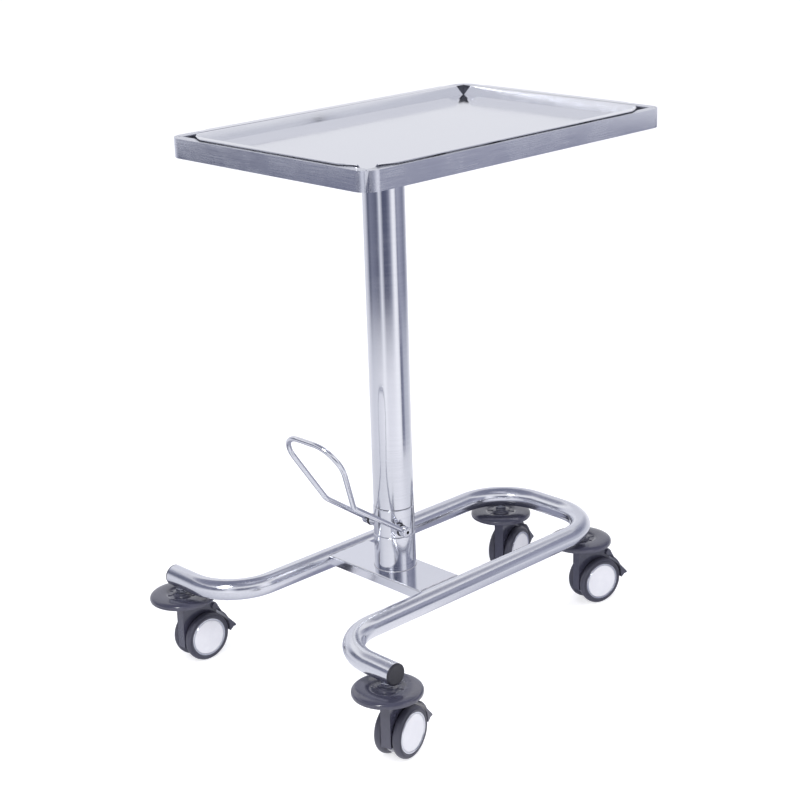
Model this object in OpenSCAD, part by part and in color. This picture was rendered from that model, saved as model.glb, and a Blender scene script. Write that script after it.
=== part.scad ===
// Height-adjustable instrument cart: a lift-off tray in a channel frame, carried off-centre by a
// telescoping column on a bent-tube base with four twin-wheel casters and a loop-shaped foot pedal.
// Millimetres, +Z up, origin on the floor under the middle of the whole cart. The pedal end is -X.
// Each sub-part is drawn round the column's axis, and on_floor() moves it to the cart's middle.
// Front and rear, left and right are as seen from the pedal end, facing along +X.

/* [Tray frame] */
// Outer length of the tray frame
frame_l = 600; // [480:5:720]
// Outer width of the tray frame
frame_w = 408; // [330:2:500]
// Height of the frame's channel
frame_h = 28; // [24:1:40]
// Width of the frame's flanges
frame_flange = 15; // [12:1:18]
// Sheet thickness of the frame
frame_t = 1.5; // [1:0.1:2]
// Outer radius of the frame's corners
frame_r = 24; // [18:1:40]
// Height of the frame's top above the floor, at the lowest setting
frame_top = 818; // [740:2:1000]
// Distance from the column's axis to the middle of the frame
frame_offset = 79; // [20:1:120]

/* [Tray] */
// Sheet thickness of the tray
tray_t = 1.2; // [0.8:0.1:1.5]
// Depth from the lip's top to the floor's top
tray_depth = 17; // [12:0.5:20]
// Distance from the frame's outer edge to the lip's outer edge
lip_inset = 8; // [5:0.5:11]
// Width of the lip
lip_w = 12; // [10:0.5:16]
// Gap between the frame's top and the lip
lip_gap = 1.3; // [0.5:0.1:3]
// How far each wall leans out over its height
wall_lean = 2; // [0.5:0.1:3]
// Gap between two walls at the floor's corners
corner_gap = 1.5; // [0.5:0.1:4]
// Width of the open notch at the top of each wall's end
notch_w = 14; // [8:1:20]
// Extra length that the chamfer takes off the lip's outer edge at each end
lip_chamfer = 26; // [10:1:40]
// How far the tray is lifted to take it off
tray_lift = 60; // [40:5:120]

/* [Support rails] */
// Width of each support rail
rail_w = 22; // [16:1:30]
// Wall of the support rails
rail_t = 1.2; // [1:0.1:1.5]
// Distance from the column's axis to the rails on each side of it
rail_x = 55; // [45:1:70]
// Distance from the column's axis to the rail under the tray's far end
far_rail_x = 250; // [150:5:270]
// Thickness of the mounting plate under the rails
plate_t = 5; // [4:0.5:8]
// Width of the mounting plate across the rails
plate_w = 110; // [90:2:150]
// Distance of each mounting screw from the middle, across the cart
screw_y = 38; // [34:1:50]
// Diameter of the mounting screws
screw_d = 6; // [5:1:8]

/* [Column] */
// Outer diameter of the sliding outer column
column_d = 61; // [56:1:70]
// Wall of the outer column
column_t = 1.5; // [1.2:0.1:2]
// Wall of the guide bushes between the inner and the outer column
bush_t = 2; // [2:0.5:6]
// Wall of the inner column
inner_t = 1.5; // [1.2:0.1:2]
// Travel of the lift
lift_travel = 320; // [200:10:350]
// Length of each guide bush
bush_l = 36; // [20:1:50]
// Step of the fixed lower column outside the outer column
lower_step = 1; // [0.5:0.5:5]
// Wall of the lower column
lower_t = 2; // [1.5:0.1:3]
// Height of the lower column's top above the floor
collar_bottom = 207.5; // [200:0.5:225]
// Height of the collar that carries the pedal
collar_h = 44; // [40:1:60]
// Step of the collar outside the outer column
collar_step = 0.5; // [0.5:0.5:5]
// Outer diameter of the lift cylinder
cylinder_d = 22; // [18:1:22]
// Diameter of the lift rod
rod_d = 12; // [8:1:14]

/* [Foot pedal] */
// Diameter of the pedal's rod
pedal_rod_d = 8; // [6:1:10]
// Distance of the pedal's pivot in front of the column's axis
pivot_x = 16; // [16:0.5:17]
// Height of the pedal's pivot above the floor
pivot_z = 222; // [218:0.5:226]
// Diameter of the pivot pin
pin_d = 8; // [6:1:8]
// Distance of the loop's rod outside the collar's bosses, at the pivot
loop_stand = 8; // [8:0.5:12]
// Half the width of the loop at its bend
loop_y_bend = 30; // [28:0.5:40]
// Half the width of the loop at its top
loop_y_top = 68; // [50:1:90]
// Distance of the loop's bend in front of the column's axis
bend_x = 108; // [90:1:130]
// Height of the loop's bend above the floor
bend_z = 285; // [270:1:310]
// Distance of the loop's top in front of the column's axis
top_x = 167; // [140:1:190]
// Height of the loop's top above the floor
top_z = 396; // [350:1:410]
// Radius of the loop's top corners
loop_r = 38; // [20:1:45]
// Radius of the loop's bends half way up
bend_r = 18; // [8:1:24]

/* [Base] */
// Outer diameter of the base's tube
tube_d = 32; // [28:1:38]
// Wall of the base's tube
tube_t = 1.5; // [1.2:0.1:2.5]
// Height of the tube's centre above the floor
tube_z = 141; // [138:1:160]
// Distance from the middle to each arm's centre
arm_y = 112; // [100:1:150]
// Distance from the column's axis to the feet's centre line
foot_x = 237; // [200:1:300]
// Distance from the middle to each foot's capped end
foot_end_y = 245; // [235:1:300]
// Radius of the bends between the arms and the feet
foot_bend_r = 80; // [60:1:90]
// Distance from the column's axis to the rear cross stretch's centre line
rear_x = 356; // [300:1:420]
// Radius of the rear bends
rear_bend_r = 85; // [60:1:95]
// Height of the base plate's top above the floor
deck_z = 153; // [152:0.5:156]
// Thickness of the base plate
deck_t = 3; // [2:0.5:4]
// Distance from the column's axis to the base plate's front edge
deck_front = 46; // [42:1:70]
// Distance from the column's axis to the base plate's rear edge
deck_rear = 35; // [33:1:70]
// Height of the base plate's folded edges
deck_fold = 15; // [10:1:20]
// Thickness of the end caps' heads
cap_t = 3; // [2:0.5:5]

/* [Casters] */
// Diameter of the wheels
wheel_d = 76; // [60:1:80]
// Width of each wheel
wheel_w = 13.5; // [10:0.5:16]
// Distance from the swivel's axis back to the axle
trail = 29; // [22:1:36]
// Width of the fork's web between the wheels
web_w = 16; // [12:1:20]
// Diameter of the axles
axle_d = 8; // [6:1:10]
// Diameter of the threaded stems
stem_d = 12; // [10:1:12]
// Diameter of the bumper discs
bumper_d = 100; // [80:1:120]
// Height of the bumper discs' undersides above the floor
bumper_z = 107.4; // [106:0.1:110]
// Distance from the middle to each front caster
front_caster_y = 226; // [205:1:260]
// Swivel angles of the casters: front left, front right, rear left, rear right
caster_turn = [-3, 12, 13, -13];
// Travel of each brake lever, in degrees
brake_travel = 5; // [2:0.5:5]

/* [Hidden] */
$fn = 64;

STEEL = "#c9cad2";
SATIN = "#a9abb6";
DARK_PLASTIC = "#4a4a58";
TYRE_GREY = "#56565f";
CAP_WHITE = "#e6e6ea";
BLACK_PLASTIC = "#33333c";
BRASS = "#b79a5b";
NYLON = "#d8d5c6";

// Radial play of a running fit
run_fit = 0.05;
// Gap between parts that move past each other
move_gap = 0.3;
// Overcut of a tool that opens a face
over = 1;

// Tray frame and tray
frame_x0 = frame_offset - frame_l / 2;
frame_bottom = frame_top - frame_h;
tray_top = frame_top + lip_gap + tray_t;
tray_floor = tray_top - tray_depth;
tray_under = tray_floor - tray_t;
wall_inset = lip_inset + lip_w;
floor_inset = wall_inset + wall_lean;
lean = atan(wall_lean / (tray_top - tray_under));
rail_z = frame_bottom + frame_t;
rail_h = tray_under - rail_z;
plate_z = rail_z - plate_t;
plate_l = 2 * rail_x + rail_w;
screw_head_h = 4;

// Column
column_r = column_d / 2;
column_bore = column_r - column_t;
inner_r = column_bore - bush_t;
collar_r = column_r + collar_step;
lower_r = column_r + lower_step;
collar_top = collar_bottom + collar_h;
column_bottom = collar_top + 0.5;
pump_top = collar_bottom - 11.5;
inner_seat = pivot_z + 15;
bearing_h = 6;
bearing_z = plate_z - bearing_h;
rod_head_h = 4;
rod_top = bearing_z - run_fit;
inner_top = rod_top - rod_head_h - 32;
cylinder_top = inner_top + 6;
cylinder_bore = cylinder_d / 2 - 2;
gland_h = 10;
piston_h = 12;
piston_z = cylinder_top - gland_h - lift_travel - piston_h - 4;

// Pedal
pedal_pivot = [-pivot_x, 0, pivot_z];
boss_r = 8;
boss_y = column_r + 0.5;
flange_t = 3;
flange_r = 9;
hub_r = 8;
hub_y0 = boss_y + flange_t + move_gap;
loop_y_pivot = boss_y + loop_stand;
hub_y1 = loop_y_pivot + 7;
cam_reach = 6;
cam_r = 5;
cam_half = 4;
plunger_d = 6;
plunger_x = -pivot_x - cam_reach + 1;

// Base
tube_r = tube_d / 2;
arm_x0 = -foot_x + foot_bend_r;
arm_x1 = rear_x - rear_bend_r;
foot_y0 = arm_y + foot_bend_r;
rear_y = arm_y - rear_bend_r;
deck_under = deck_z - deck_t;
deck_half = arm_y - sqrt(pow(tube_r, 2) - pow(deck_under - tube_z, 2));
fold_half = arm_y - tube_r;
tube_bottom = tube_z - tube_r;

// Casters
wheel_r = wheel_d / 2;
axle_y = web_w / 2 + move_gap + wheel_w;
cap_r = wheel_r - 8;
cap_depth = 3;
bumper_h = 10;
boss_top = tube_bottom - 7;
fork_top = bumper_z - 0.1;
web_r = wheel_r - 5;
brake_pin_r = 2.5;
brake_pivot_r = wheel_r + 9;
brake_pivot_a = 63;
brake_shoe_r = wheel_r + 4.5;
brake_shoe_t = 2;
rear_mid = rear_bend_r * sin(45);
caster_xy = [
    [-foot_x, front_caster_y],
    [-foot_x, -front_caster_y],
    [arm_x1 + rear_mid, rear_y + rear_mid],
    [arm_x1 + rear_mid, -rear_y - rear_mid]
];

// Reach of the whole cart from the column's axis, towards the pedal end and away from it
brake_toe = 12;
brake_ear_t = 3;
brake_shoe_half = web_w / 2 + move_gap + brake_ear_t + 6;
toe_x = trail + brake_shoe_r + brake_toe;
rear_turn = caster_turn[2];
front_reach = foot_x + bumper_d / 2;
rear_reach = caster_xy[2][0] + toe_x * cos(rear_turn) + brake_shoe_half * sin(rear_turn);

// Moves a sub-part from the column's axis to the middle of the cart
module on_floor() {
    translate([(front_reach - rear_reach) / 2, 0, 0])
        children();
}

// A bar with round corners on the outside, as a flat outline
module round_rect(l, w, r) {
    square([l - 2 * r, w], center = true);
    square([l, w - 2 * r], center = true);
    for (sx = [-1, 1], sy = [-1, 1])
        translate([sx * (l / 2 - r), sy * (w / 2 - r)])
            circle(r);
}

// A plain tube standing on z
module pipe(r_out, r_in, z0, z1) {
    translate([0, 0, z0])
        linear_extrude(z1 - z0)
            difference() {
                circle(r_out);
                circle(r_in);
            }
}

// A cylinder between two heights
module post(r, z0, z1) {
    translate([0, 0, z0])
        cylinder(r = r, h = z1 - z0);
}

// A cylinder along Y between two distances
module y_post(r, y0, y1) {
    translate([0, y0, 0])
        rotate([-90, 0, 0])
            cylinder(r = r, h = y1 - y0);
}

// Unit vector
function unit(v) = v / norm(v);

// Frame with its Z along direction z and its X nearest to direction x
function frame_at(p, x, z) =
    let (y = unit(cross(z, x)), x1 = cross(y, z))
    [
        [x1[0], y[0], z[0], p[0]],
        [x1[1], y[1], z[1], p[1]],
        [x1[2], y[2], z[2], p[2]],
        [0, 0, 0, 1]
    ];

// Round rod bent at each inner point of a route, with one bend radius for each inner point.
// The rod is a little thinner in its bends, and each bend runs a short way into its straights.
module bent_rod(route, bends, r) {
    thinning = 0.02;
    lap = 0.3;
    last = len(route) - 1;
    dirs = [for (i = [0:last - 1]) unit(route[i + 1] - route[i])];
    turns = [for (i = [1:last - 1]) acos(dirs[i - 1] * dirs[i])];
    cuts = [0, for (i = [1:last - 1]) bends[i - 1] * tan(turns[i - 1] / 2), 0];
    for (i = [0:last - 1]) {
        side = i < last - 1 ? dirs[i + 1] : -dirs[i - 1];
        multmatrix(frame_at(route[i] + cuts[i] * dirs[i], side, dirs[i]))
            cylinder(r = r, h = norm(route[i + 1] - route[i]) - cuts[i] - cuts[i + 1]);
    }
    for (i = [1:last - 1]) {
        start = route[i] - cuts[i] * dirs[i - 1];
        axis = unit(cross(dirs[i - 1], dirs[i]));
        inward = cross(axis, dirs[i - 1]);
        lap_turn = lap / bends[i - 1] * 180 / PI;
        multmatrix(frame_at(start + bends[i - 1] * inward, -inward, axis))
            rotate(-lap_turn)
                rotate_extrude(angle = turns[i - 1] + 2 * lap_turn)
                    translate([bends[i - 1], 0])
                        circle(r - thinning);
    }
}

// Tray: floor, four leaning walls with open notched corners, and a flat lip
module tray_side(length, half_span) {
    wall_l = length - 2 * floor_inset - 2 * corner_gap;
    wall_h = (tray_top - tray_under - tray_t * sin(lean)) / cos(lean);
    translate([0, half_span - floor_inset, tray_under])
        rotate([90 - lean, 0, 0])
            linear_extrude(tray_t)
                polygon([
                    [-wall_l / 2, 0],
                    [wall_l / 2, 0],
                    [wall_l / 2 - notch_w, wall_h],
                    [-wall_l / 2 + notch_w, wall_h]
                ]);
    lip_l = wall_l - 2 * notch_w;
    translate([0, half_span - lip_inset, tray_top - tray_t])
        linear_extrude(tray_t)
            polygon([
                [-lip_l / 2, -lip_w - tray_t],
                [lip_l / 2, -lip_w - tray_t],
                [lip_l / 2 - lip_chamfer, 0],
                [-lip_l / 2 + lip_chamfer, 0]
            ]);
}

module tray() {
    floor_l = frame_l - 2 * floor_inset;
    floor_w = frame_w - 2 * floor_inset;
    color(STEEL)
        translate([frame_offset, 0, 0]) {
            translate([-floor_l / 2, -floor_w / 2, tray_under])
                cube([floor_l, floor_w, tray_t]);
            for (s = [0, 180])
                rotate(s)
                    tray_side(frame_l, frame_w / 2);
            for (s = [90, 270])
                rotate(s)
                    tray_side(frame_w, frame_l / 2);
        }
}

// Tray frame: a channel bent from sheet, open to the inside, with mitred flanges
module tray_frame() {
    color(SATIN)
        translate([frame_offset, 0, frame_bottom])
            difference() {
                linear_extrude(frame_h)
                    round_rect(frame_l, frame_w, frame_r);
                translate([0, 0, frame_t])
                    linear_extrude(frame_h - 2 * frame_t)
                        round_rect(frame_l - 2 * frame_t, frame_w - 2 * frame_t, frame_r - frame_t);
                translate([0, 0, frame_h / 2])
                    cube([frame_l - 2 * frame_flange, frame_w - 2 * frame_flange, frame_h + 2 * over],
                        center = true);
            }
}

// Support rails across the frame, standing on its lower flange and carrying the tray
module cross_rails() {
    rail_l = frame_w - 2 * frame_t;
    color(SATIN)
        for (x = [-rail_x, rail_x, far_rail_x])
            translate([x, 0, rail_z])
                difference() {
                    translate([-rail_w / 2, -rail_l / 2, 0])
                        cube([rail_w, rail_l, rail_h]);
                    translate([-rail_w / 2 + rail_t, -rail_l / 2 - over, rail_t])
                        cube([rail_w - 2 * rail_t, rail_l + 2 * over, rail_h - 2 * rail_t]);
                    if (x < far_rail_x)
                        for (sy = [-1, 1])
                            translate([0, sy * screw_y, -over])
                                cylinder(r = screw_d / 2 + run_fit, h = rail_t + 2 * over);
                }
}

// Mounting plate on the outer column's head
module mounting_plate() {
    color(STEEL)
        difference() {
            translate([-plate_l / 2, -plate_w / 2, plate_z])
                cube([plate_l, plate_w, plate_t]);
            for (sx = [-1, 1], sy = [-1, 1])
                translate([sx * rail_x, sy * screw_y, plate_z - over])
                    cylinder(r = screw_d / 2 + run_fit, h = plate_t + 2 * over);
        }
}

// Screws through the plate, each with its nut inside a rail
module mounting_screws() {
    nut_h = min(5, rail_h - 2 * rail_t - 1);
    color(STEEL)
        for (sx = [-1, 1], sy = [-1, 1])
            translate([sx * rail_x, sy * screw_y, 0]) {
                difference() {
                    post(screw_d * 0.85, plate_z - screw_head_h, plate_z);
                    translate([0, 0, plate_z - screw_head_h - over])
                        cylinder(d = screw_d * 0.9, h = screw_head_h * 0.6 + over, $fn = 6);
                }
                post(screw_d / 2, plate_z - 1, rail_z + rail_t + nut_h);
                translate([0, 0, rail_z + rail_t])
                    cylinder(r = screw_d * 0.95, h = nut_h, $fn = 6);
            }
}

// Sliding outer column
module outer_column() {
    color(STEEL)
        pipe(column_r, column_bore, column_bottom, plate_z);
}

// Nylon bush in the outer column's mouth, sliding on the inner column
module lower_bush() {
    color(NYLON)
        pipe(column_bore, inner_r + run_fit, column_bottom + 2, column_bottom + 2 + bush_l);
}

// Bearing disc between the lift rod and the turning head
module thrust_bearing() {
    color(BRASS)
        post(column_bore - 8, bearing_z, plate_z);
}

// Lift rod with its piston and button head
module lift_rod() {
    color(STEEL) {
        post(rod_d / 2, piston_z, rod_top);
        post(cylinder_bore - run_fit, piston_z, piston_z + piston_h);
        post(rod_d / 2 + 7, rod_top - rod_head_h, rod_top);
    }
}

// Fixed inner column, seated in the collar
module inner_column() {
    color(STEEL)
        pipe(inner_r, inner_r - inner_t, inner_seat, inner_top);
}

// Nylon bush on the inner column's top, sliding in the outer column
module upper_bush() {
    color(NYLON) {
        pipe(column_bore - run_fit, inner_r, inner_top - bush_l, inner_top);
        pipe(column_bore - run_fit, inner_r - inner_t, inner_top, inner_top + 3);
    }
}

// Hydraulic lift cylinder, standing on the pump
module lift_cylinder() {
    color(BLACK_PLASTIC) {
        pipe(cylinder_d / 2, cylinder_bore, pump_top, cylinder_top);
        pipe(cylinder_d / 2, rod_d / 2 + run_fit, cylinder_top - gland_h, cylinder_top);
    }
}

// Pump block inside the lower column
module pump_block() {
    color(DARK_PLASTIC)
        difference() {
            post(lower_r - lower_t - 1, deck_z, pump_top);
            translate([plunger_x, 0, deck_z + 10])
                cylinder(r = plunger_d / 2 + run_fit, h = pump_top - deck_z);
        }
}

// Pump plunger, pressed down by the cam
module pump_plunger() {
    color(STEEL)
        translate([plunger_x, 0, 0]) {
            post(plunger_d / 2, pump_top - 22, pivot_z - cam_r - move_gap - 3);
            post(plunger_d / 2 + 1, pivot_z - cam_r - move_gap - 3, pivot_z - cam_r - move_gap);
        }
}

// Cam on the pivot pin
module pump_cam() {
    color(STEEL)
        translate(pedal_pivot)
            difference() {
                union() {
                    y_post(cam_r, -cam_half, cam_half);
                    translate([-cam_reach, 0, 0])
                        y_post(cam_r, -cam_half, cam_half);
                    translate([-cam_reach, -cam_half, -cam_r])
                        cube([cam_reach, 2 * cam_half, 2 * cam_r]);
                }
                y_post(pin_d / 2, -cam_half - over, cam_half + over);
                translate([pivot_x, 0, -2 * cam_r])
                    cylinder(r = cylinder_d / 2 + 1, h = 4 * cam_r);
            }
}

// Fixed lower column
module lower_column() {
    color(STEEL)
        pipe(lower_r, lower_r - lower_t, deck_z, collar_bottom);
}

// Collar with two bosses for the pedal's pivot
module pedal_collar() {
    color(STEEL)
        difference() {
            union() {
                post(collar_r, collar_bottom, collar_top);
                translate(pedal_pivot)
                    y_post(boss_r, -boss_y, boss_y);
            }
            post(inner_r + 0.6, collar_bottom - over, inner_seat);
            post(inner_r, inner_seat - over, collar_top + over);
            translate(pedal_pivot)
                y_post(pin_d / 2 + 2, -boss_y - over, boss_y + over);
        }
}

// Flanged bushes in the collar's bosses
module pedal_bushes() {
    inner_y = sqrt(pow(inner_r + 0.6, 2) - pow(pivot_x - 4, 2)) + 1;
    color(BLACK_PLASTIC)
        translate(pedal_pivot)
            for (s = [0, 180])
                rotate(s)
                    difference() {
                        union() {
                            y_post(pin_d / 2 + 2, inner_y, boss_y);
                            y_post(flange_r, boss_y, boss_y + flange_t);
                        }
                        y_post(pin_d / 2 + run_fit, 0, boss_y + flange_t + over);
                    }
}

// Pivot pin of the pedal
module pedal_pin() {
    color(STEEL)
        translate(pedal_pivot)
            y_post(pin_d / 2, -hub_y1 + 4, hub_y1 - 4);
}

// Hubs that clamp the loop to the pin, each closed by a socket screw
module pedal_hubs() {
    color(STEEL)
        translate(pedal_pivot)
            for (s = [0, 180])
                rotate(s)
                    difference() {
                        y_post(hub_r, hub_y0, hub_y1);
                        y_post(pin_d / 2, hub_y0 - over, hub_y1 - 4);
                        translate([0, hub_y1 + over, 0])
                            rotate([90, 0, 0])
                                cylinder(d = 6, h = 2.5 + over, $fn = 6);
                    }
}

// Foot pedal: a loop of bent rod welded to both hubs
module pedal_loop() {
    right = [
        [-pivot_x, -loop_y_pivot, pivot_z],
        [-bend_x, -loop_y_bend, bend_z],
        [-top_x, -loop_y_top, top_z]
    ];
    left = [for (i = [2:-1:0]) [right[i][0], -right[i][1], right[i][2]]];
    color(STEEL)
        difference() {
            bent_rod(concat(right, left), [bend_r, loop_r, loop_r, bend_r], pedal_rod_d / 2);
            translate(pedal_pivot)
                y_post(hub_r, -hub_y1, hub_y1);
        }
}

// Folded base plate between the arms
module base_plate() {
    color(STEEL) {
        translate([-deck_front, -deck_half, deck_under])
            cube([deck_front + deck_rear, 2 * deck_half, deck_t]);
        for (x = [-deck_front, deck_rear - deck_t])
            translate([x, -fold_half, deck_z - deck_fold])
                cube([deck_t, 2 * fold_half, deck_fold - deck_t]);
    }
}

// Centre line of the base, swept with a disc of the given radius
module base_sweep(r, foot_end) {
    for (s = [0, 1])
        mirror([0, s, 0]) {
            translate([arm_x0, arm_y, tube_z])
                rotate([0, 90, 0])
                    cylinder(r = r, h = arm_x1 - arm_x0);
            translate([arm_x1, rear_y, tube_z])
                rotate_extrude(angle = 90)
                    translate([rear_bend_r, 0])
                        circle(r);
            translate([arm_x0, foot_y0, tube_z])
                rotate(180)
                    rotate_extrude(angle = 90)
                        translate([foot_bend_r, 0])
                            circle(r);
            translate([-foot_x, foot_y0, tube_z])
                rotate([-90, 0, 0])
                    cylinder(r = r, h = foot_end - foot_y0);
            translate([rear_x, 0, tube_z])
                rotate([-90, 0, 0])
                    cylinder(r = r, h = rear_y);
        }
}

// Base: one bent tube, drilled underneath for the four stems
module base_tube() {
    color(STEEL)
        difference() {
            base_sweep(tube_r, foot_end_y - cap_t);
            base_sweep(tube_r - tube_t, foot_end_y - cap_t + over);
            for (p = caster_xy)
                translate([p[0], p[1], tube_bottom - over])
                    cylinder(r = stem_d / 2 + run_fit, h = tube_r);
        }
}

// Plugs that close the feet
module end_caps() {
    color(BLACK_PLASTIC)
        for (s = [0, 1])
            mirror([0, s, 0])
                translate([-foot_x, 0, tube_z]) {
                    y_post(tube_r, foot_end_y - cap_t, foot_end_y);
                    difference() {
                        y_post(tube_r - tube_t, foot_end_y - cap_t - 8, foot_end_y - cap_t);
                        y_post(tube_r - tube_t - 2, foot_end_y - cap_t - 8 - over, foot_end_y - cap_t);
                    }
                }
}

// Places what follows at caster number i, with the trail along the local +X
module at_caster(i) {
    translate([caster_xy[i][0], caster_xy[i][1], 0])
        rotate(caster_turn[i])
            children();
}

// Threaded stem with its lock nut
module stem(i) {
    color(STEEL)
        translate([caster_xy[i][0], caster_xy[i][1], 0]) {
            post(stem_d / 2, bumper_z - 14, tube_bottom + 9);
            translate([0, 0, boss_top + move_gap])
                cylinder(d = stem_d * 1.6, h = tube_bottom - boss_top - move_gap, $fn = 6);
        }
}

// Bumper disc: raised rim, dished top and a hub round the stem
module bumper(i) {
    r = bumper_d / 2;
    z1 = bumper_z + bumper_h;
    color(DARK_PLASTIC)
        at_caster(i)
            rotate_extrude()
                polygon([
                    [stem_d / 2 + move_gap, bumper_z],
                    [r - 0.8, bumper_z],
                    [r, bumper_z + 0.8],
                    [r, z1 - 3],
                    [r - 1, z1 - 1],
                    [r - 3, z1],
                    [r - 5, z1 - 0.4],
                    [r - 8, z1 - 2],
                    [24, z1 - 3],
                    [18, z1 - 2.6],
                    [15, boss_top],
                    [stem_d / 2 + move_gap, boss_top]
                ]);
}

// Outline of the fork's web, in X and Z
module web_outline() {
    pivot = [trail + brake_pivot_r * cos(brake_pivot_a), wheel_r + brake_pivot_r * sin(brake_pivot_a)];
    difference() {
        union() {
            translate([trail, wheel_r])
                circle(web_r);
            polygon([
                [-8, wheel_r - 12],
                [-8, fork_top],
                [16, fork_top],
                [pivot[0] + 4, pivot[1] + 4],
                [pivot[0] + 4, pivot[1] - 12],
                [trail + web_r, wheel_r]
            ]);
            translate(pivot)
                circle(6);
        }
        translate([trail, wheel_r])
            circle(axle_d / 2);
        translate(pivot)
            circle(brake_pin_r + run_fit);
    }
}

// Fork: a swivel head and the web that stands between the wheels
module fork(i) {
    color(DARK_PLASTIC)
        at_caster(i)
            difference() {
                union() {
                    translate([0, web_w / 2, 0])
                        rotate([90, 0, 0])
                            linear_extrude(web_w)
                                web_outline();
                    post(19, fork_top - 9, fork_top);
                }
                post(stem_d / 2 + run_fit, bumper_z - 14 - move_gap, fork_top + over);
            }
}

// Axle, fixed in the web
module axle(i) {
    color(STEEL)
        at_caster(i)
            translate([trail, 0, wheel_r])
                y_post(axle_d / 2, -axle_y + cap_depth + move_gap, axle_y - cap_depth - move_gap);
}

// Wheel on one side: a crowned tyre on its core, with a seat for the cap
module wheel(i, side) {
    in_y = web_w / 2 + move_gap;
    crown = 3;
    color(TYRE_GREY)
        at_caster(i)
            translate([trail, 0, wheel_r])
                rotate([side * -90, 0, 0])
                    difference() {
                        rotate_extrude()
                            polygon([
                                [axle_d / 2 + run_fit, in_y],
                                [wheel_r - 6, in_y],
                                [wheel_r - 3, in_y + 0.6],
                                [wheel_r - 1, in_y + 2],
                                [wheel_r, in_y + 4.5],
                                [wheel_r, axle_y - 4.5],
                                [wheel_r - 1, axle_y - crown + 0.8],
                                [wheel_r - 3, axle_y - 0.8],
                                [wheel_r - 6, axle_y],
                                [axle_d / 2 + run_fit, axle_y]
                            ]);
                        post(cap_r, axle_y - cap_depth, axle_y + over);
                    }
}

// Cap pressed into the wheel's outer face
module cap(i, side) {
    color(CAP_WHITE)
        at_caster(i)
            translate([trail, 0, wheel_r])
                rotate([side * -90, 0, 0])
                    rotate_extrude()
                        polygon([
                            [0, axle_y - cap_depth],
                            [cap_r, axle_y - cap_depth],
                            [cap_r, axle_y - 0.6],
                            [cap_r - 0.6, axle_y],
                            [cap_r - 2.6, axle_y],
                            [cap_r - 3.2, axle_y - 0.6],
                            [cap_r - 4, axle_y - 0.4],
                            [0, axle_y]
                        ]);
}

// Brake lever: a shoe behind the wheels, a toe spur, two ears and their pin
module brake(i) {
    pivot_dx = brake_pivot_r * cos(brake_pivot_a);
    pivot_dz = brake_pivot_r * sin(brake_pivot_a);
    ear_y = web_w / 2 + move_gap;
    ear_t = brake_ear_t;
    shoe_half = brake_shoe_half;
    color(DARK_PLASTIC)
        at_caster(i)
            translate([trail, 0, wheel_r]) {
                rotate([90, 0, 0]) {
                    translate([0, 0, -shoe_half])
                        linear_extrude(2 * shoe_half) {
                            intersection() {
                                difference() {
                                    circle(brake_shoe_r + brake_shoe_t);
                                    circle(brake_shoe_r);
                                }
                                polygon([[0, 0], [80, 98], [120, 0], [120, -8]]);
                            }
                            polygon([
                                [brake_shoe_r * cos(24), brake_shoe_r * sin(24) + 3],
                                [brake_shoe_r + brake_toe, 3],
                                [brake_shoe_r + brake_toe, 0.5],
                                [brake_shoe_r + 7, 0],
                                [brake_shoe_r + 1, -5],
                                [brake_shoe_r + 0.8, 2]
                            ]);
                        }
                    for (y0 = [-ear_y - ear_t, ear_y])
                        translate([0, 0, y0])
                            linear_extrude(ear_t)
                                difference() {
                                    union() {
                                        polygon([
                                            [pivot_dx - 4, pivot_dz - 3],
                                            [pivot_dx + 3, pivot_dz + 4],
                                            [(brake_shoe_r + 1) * cos(30), (brake_shoe_r + 1) * sin(30)],
                                            [(brake_shoe_r + 0.5) * cos(50), (brake_shoe_r + 0.5) * sin(50)]
                                        ]);
                                        translate([pivot_dx, pivot_dz])
                                            circle(5);
                                    }
                                    circle(brake_shoe_r);
                                }
                }
                translate([pivot_dx, 0, pivot_dz])
                    y_post(brake_pin_r, -ear_y - ear_t, ear_y + ear_t);
            }
}

on_floor() tray();
on_floor() tray_frame();
on_floor() cross_rails();
on_floor() mounting_plate();
on_floor() mounting_screws();
on_floor() outer_column();
on_floor() lower_bush();
on_floor() thrust_bearing();
on_floor() lift_rod();
on_floor() inner_column();
on_floor() upper_bush();
on_floor() lift_cylinder();
on_floor() pump_block();
on_floor() pump_plunger();
on_floor() pump_cam();
on_floor() lower_column();
on_floor() pedal_collar();
on_floor() pedal_bushes();
on_floor() pedal_pin();
on_floor() pedal_hubs();
on_floor() pedal_loop();
on_floor() base_plate();
on_floor() base_tube();
on_floor() end_caps();
on_floor() stem(0);  // fl_stem
on_floor() bumper(0);  // fl_bumper
on_floor() fork(0);  // fl_fork
on_floor() axle(0);  // fl_axle
on_floor() brake(0);  // fl_brake
on_floor() wheel(0, 1);  // fl_wheel_in
on_floor() wheel(0, -1);  // fl_wheel_out
on_floor() cap(0, 1);  // fl_cap_in
on_floor() cap(0, -1);  // fl_cap_out
on_floor() stem(1);  // fr_stem
on_floor() bumper(1);  // fr_bumper
on_floor() fork(1);  // fr_fork
on_floor() axle(1);  // fr_axle
on_floor() brake(1);  // fr_brake
on_floor() wheel(1, 1);  // fr_wheel_in
on_floor() wheel(1, -1);  // fr_wheel_out
on_floor() cap(1, 1);  // fr_cap_in
on_floor() cap(1, -1);  // fr_cap_out
on_floor() stem(2);  // rl_stem
on_floor() bumper(2);  // rl_bumper
on_floor() fork(2);  // rl_fork
on_floor() axle(2);  // rl_axle
on_floor() brake(2);  // rl_brake
on_floor() wheel(2, 1);  // rl_wheel_in
on_floor() wheel(2, -1);  // rl_wheel_out
on_floor() cap(2, 1);  // rl_cap_in
on_floor() cap(2, -1);  // rl_cap_out
on_floor() stem(3);  // rr_stem
on_floor() bumper(3);  // rr_bumper
on_floor() fork(3);  // rr_fork
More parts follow.
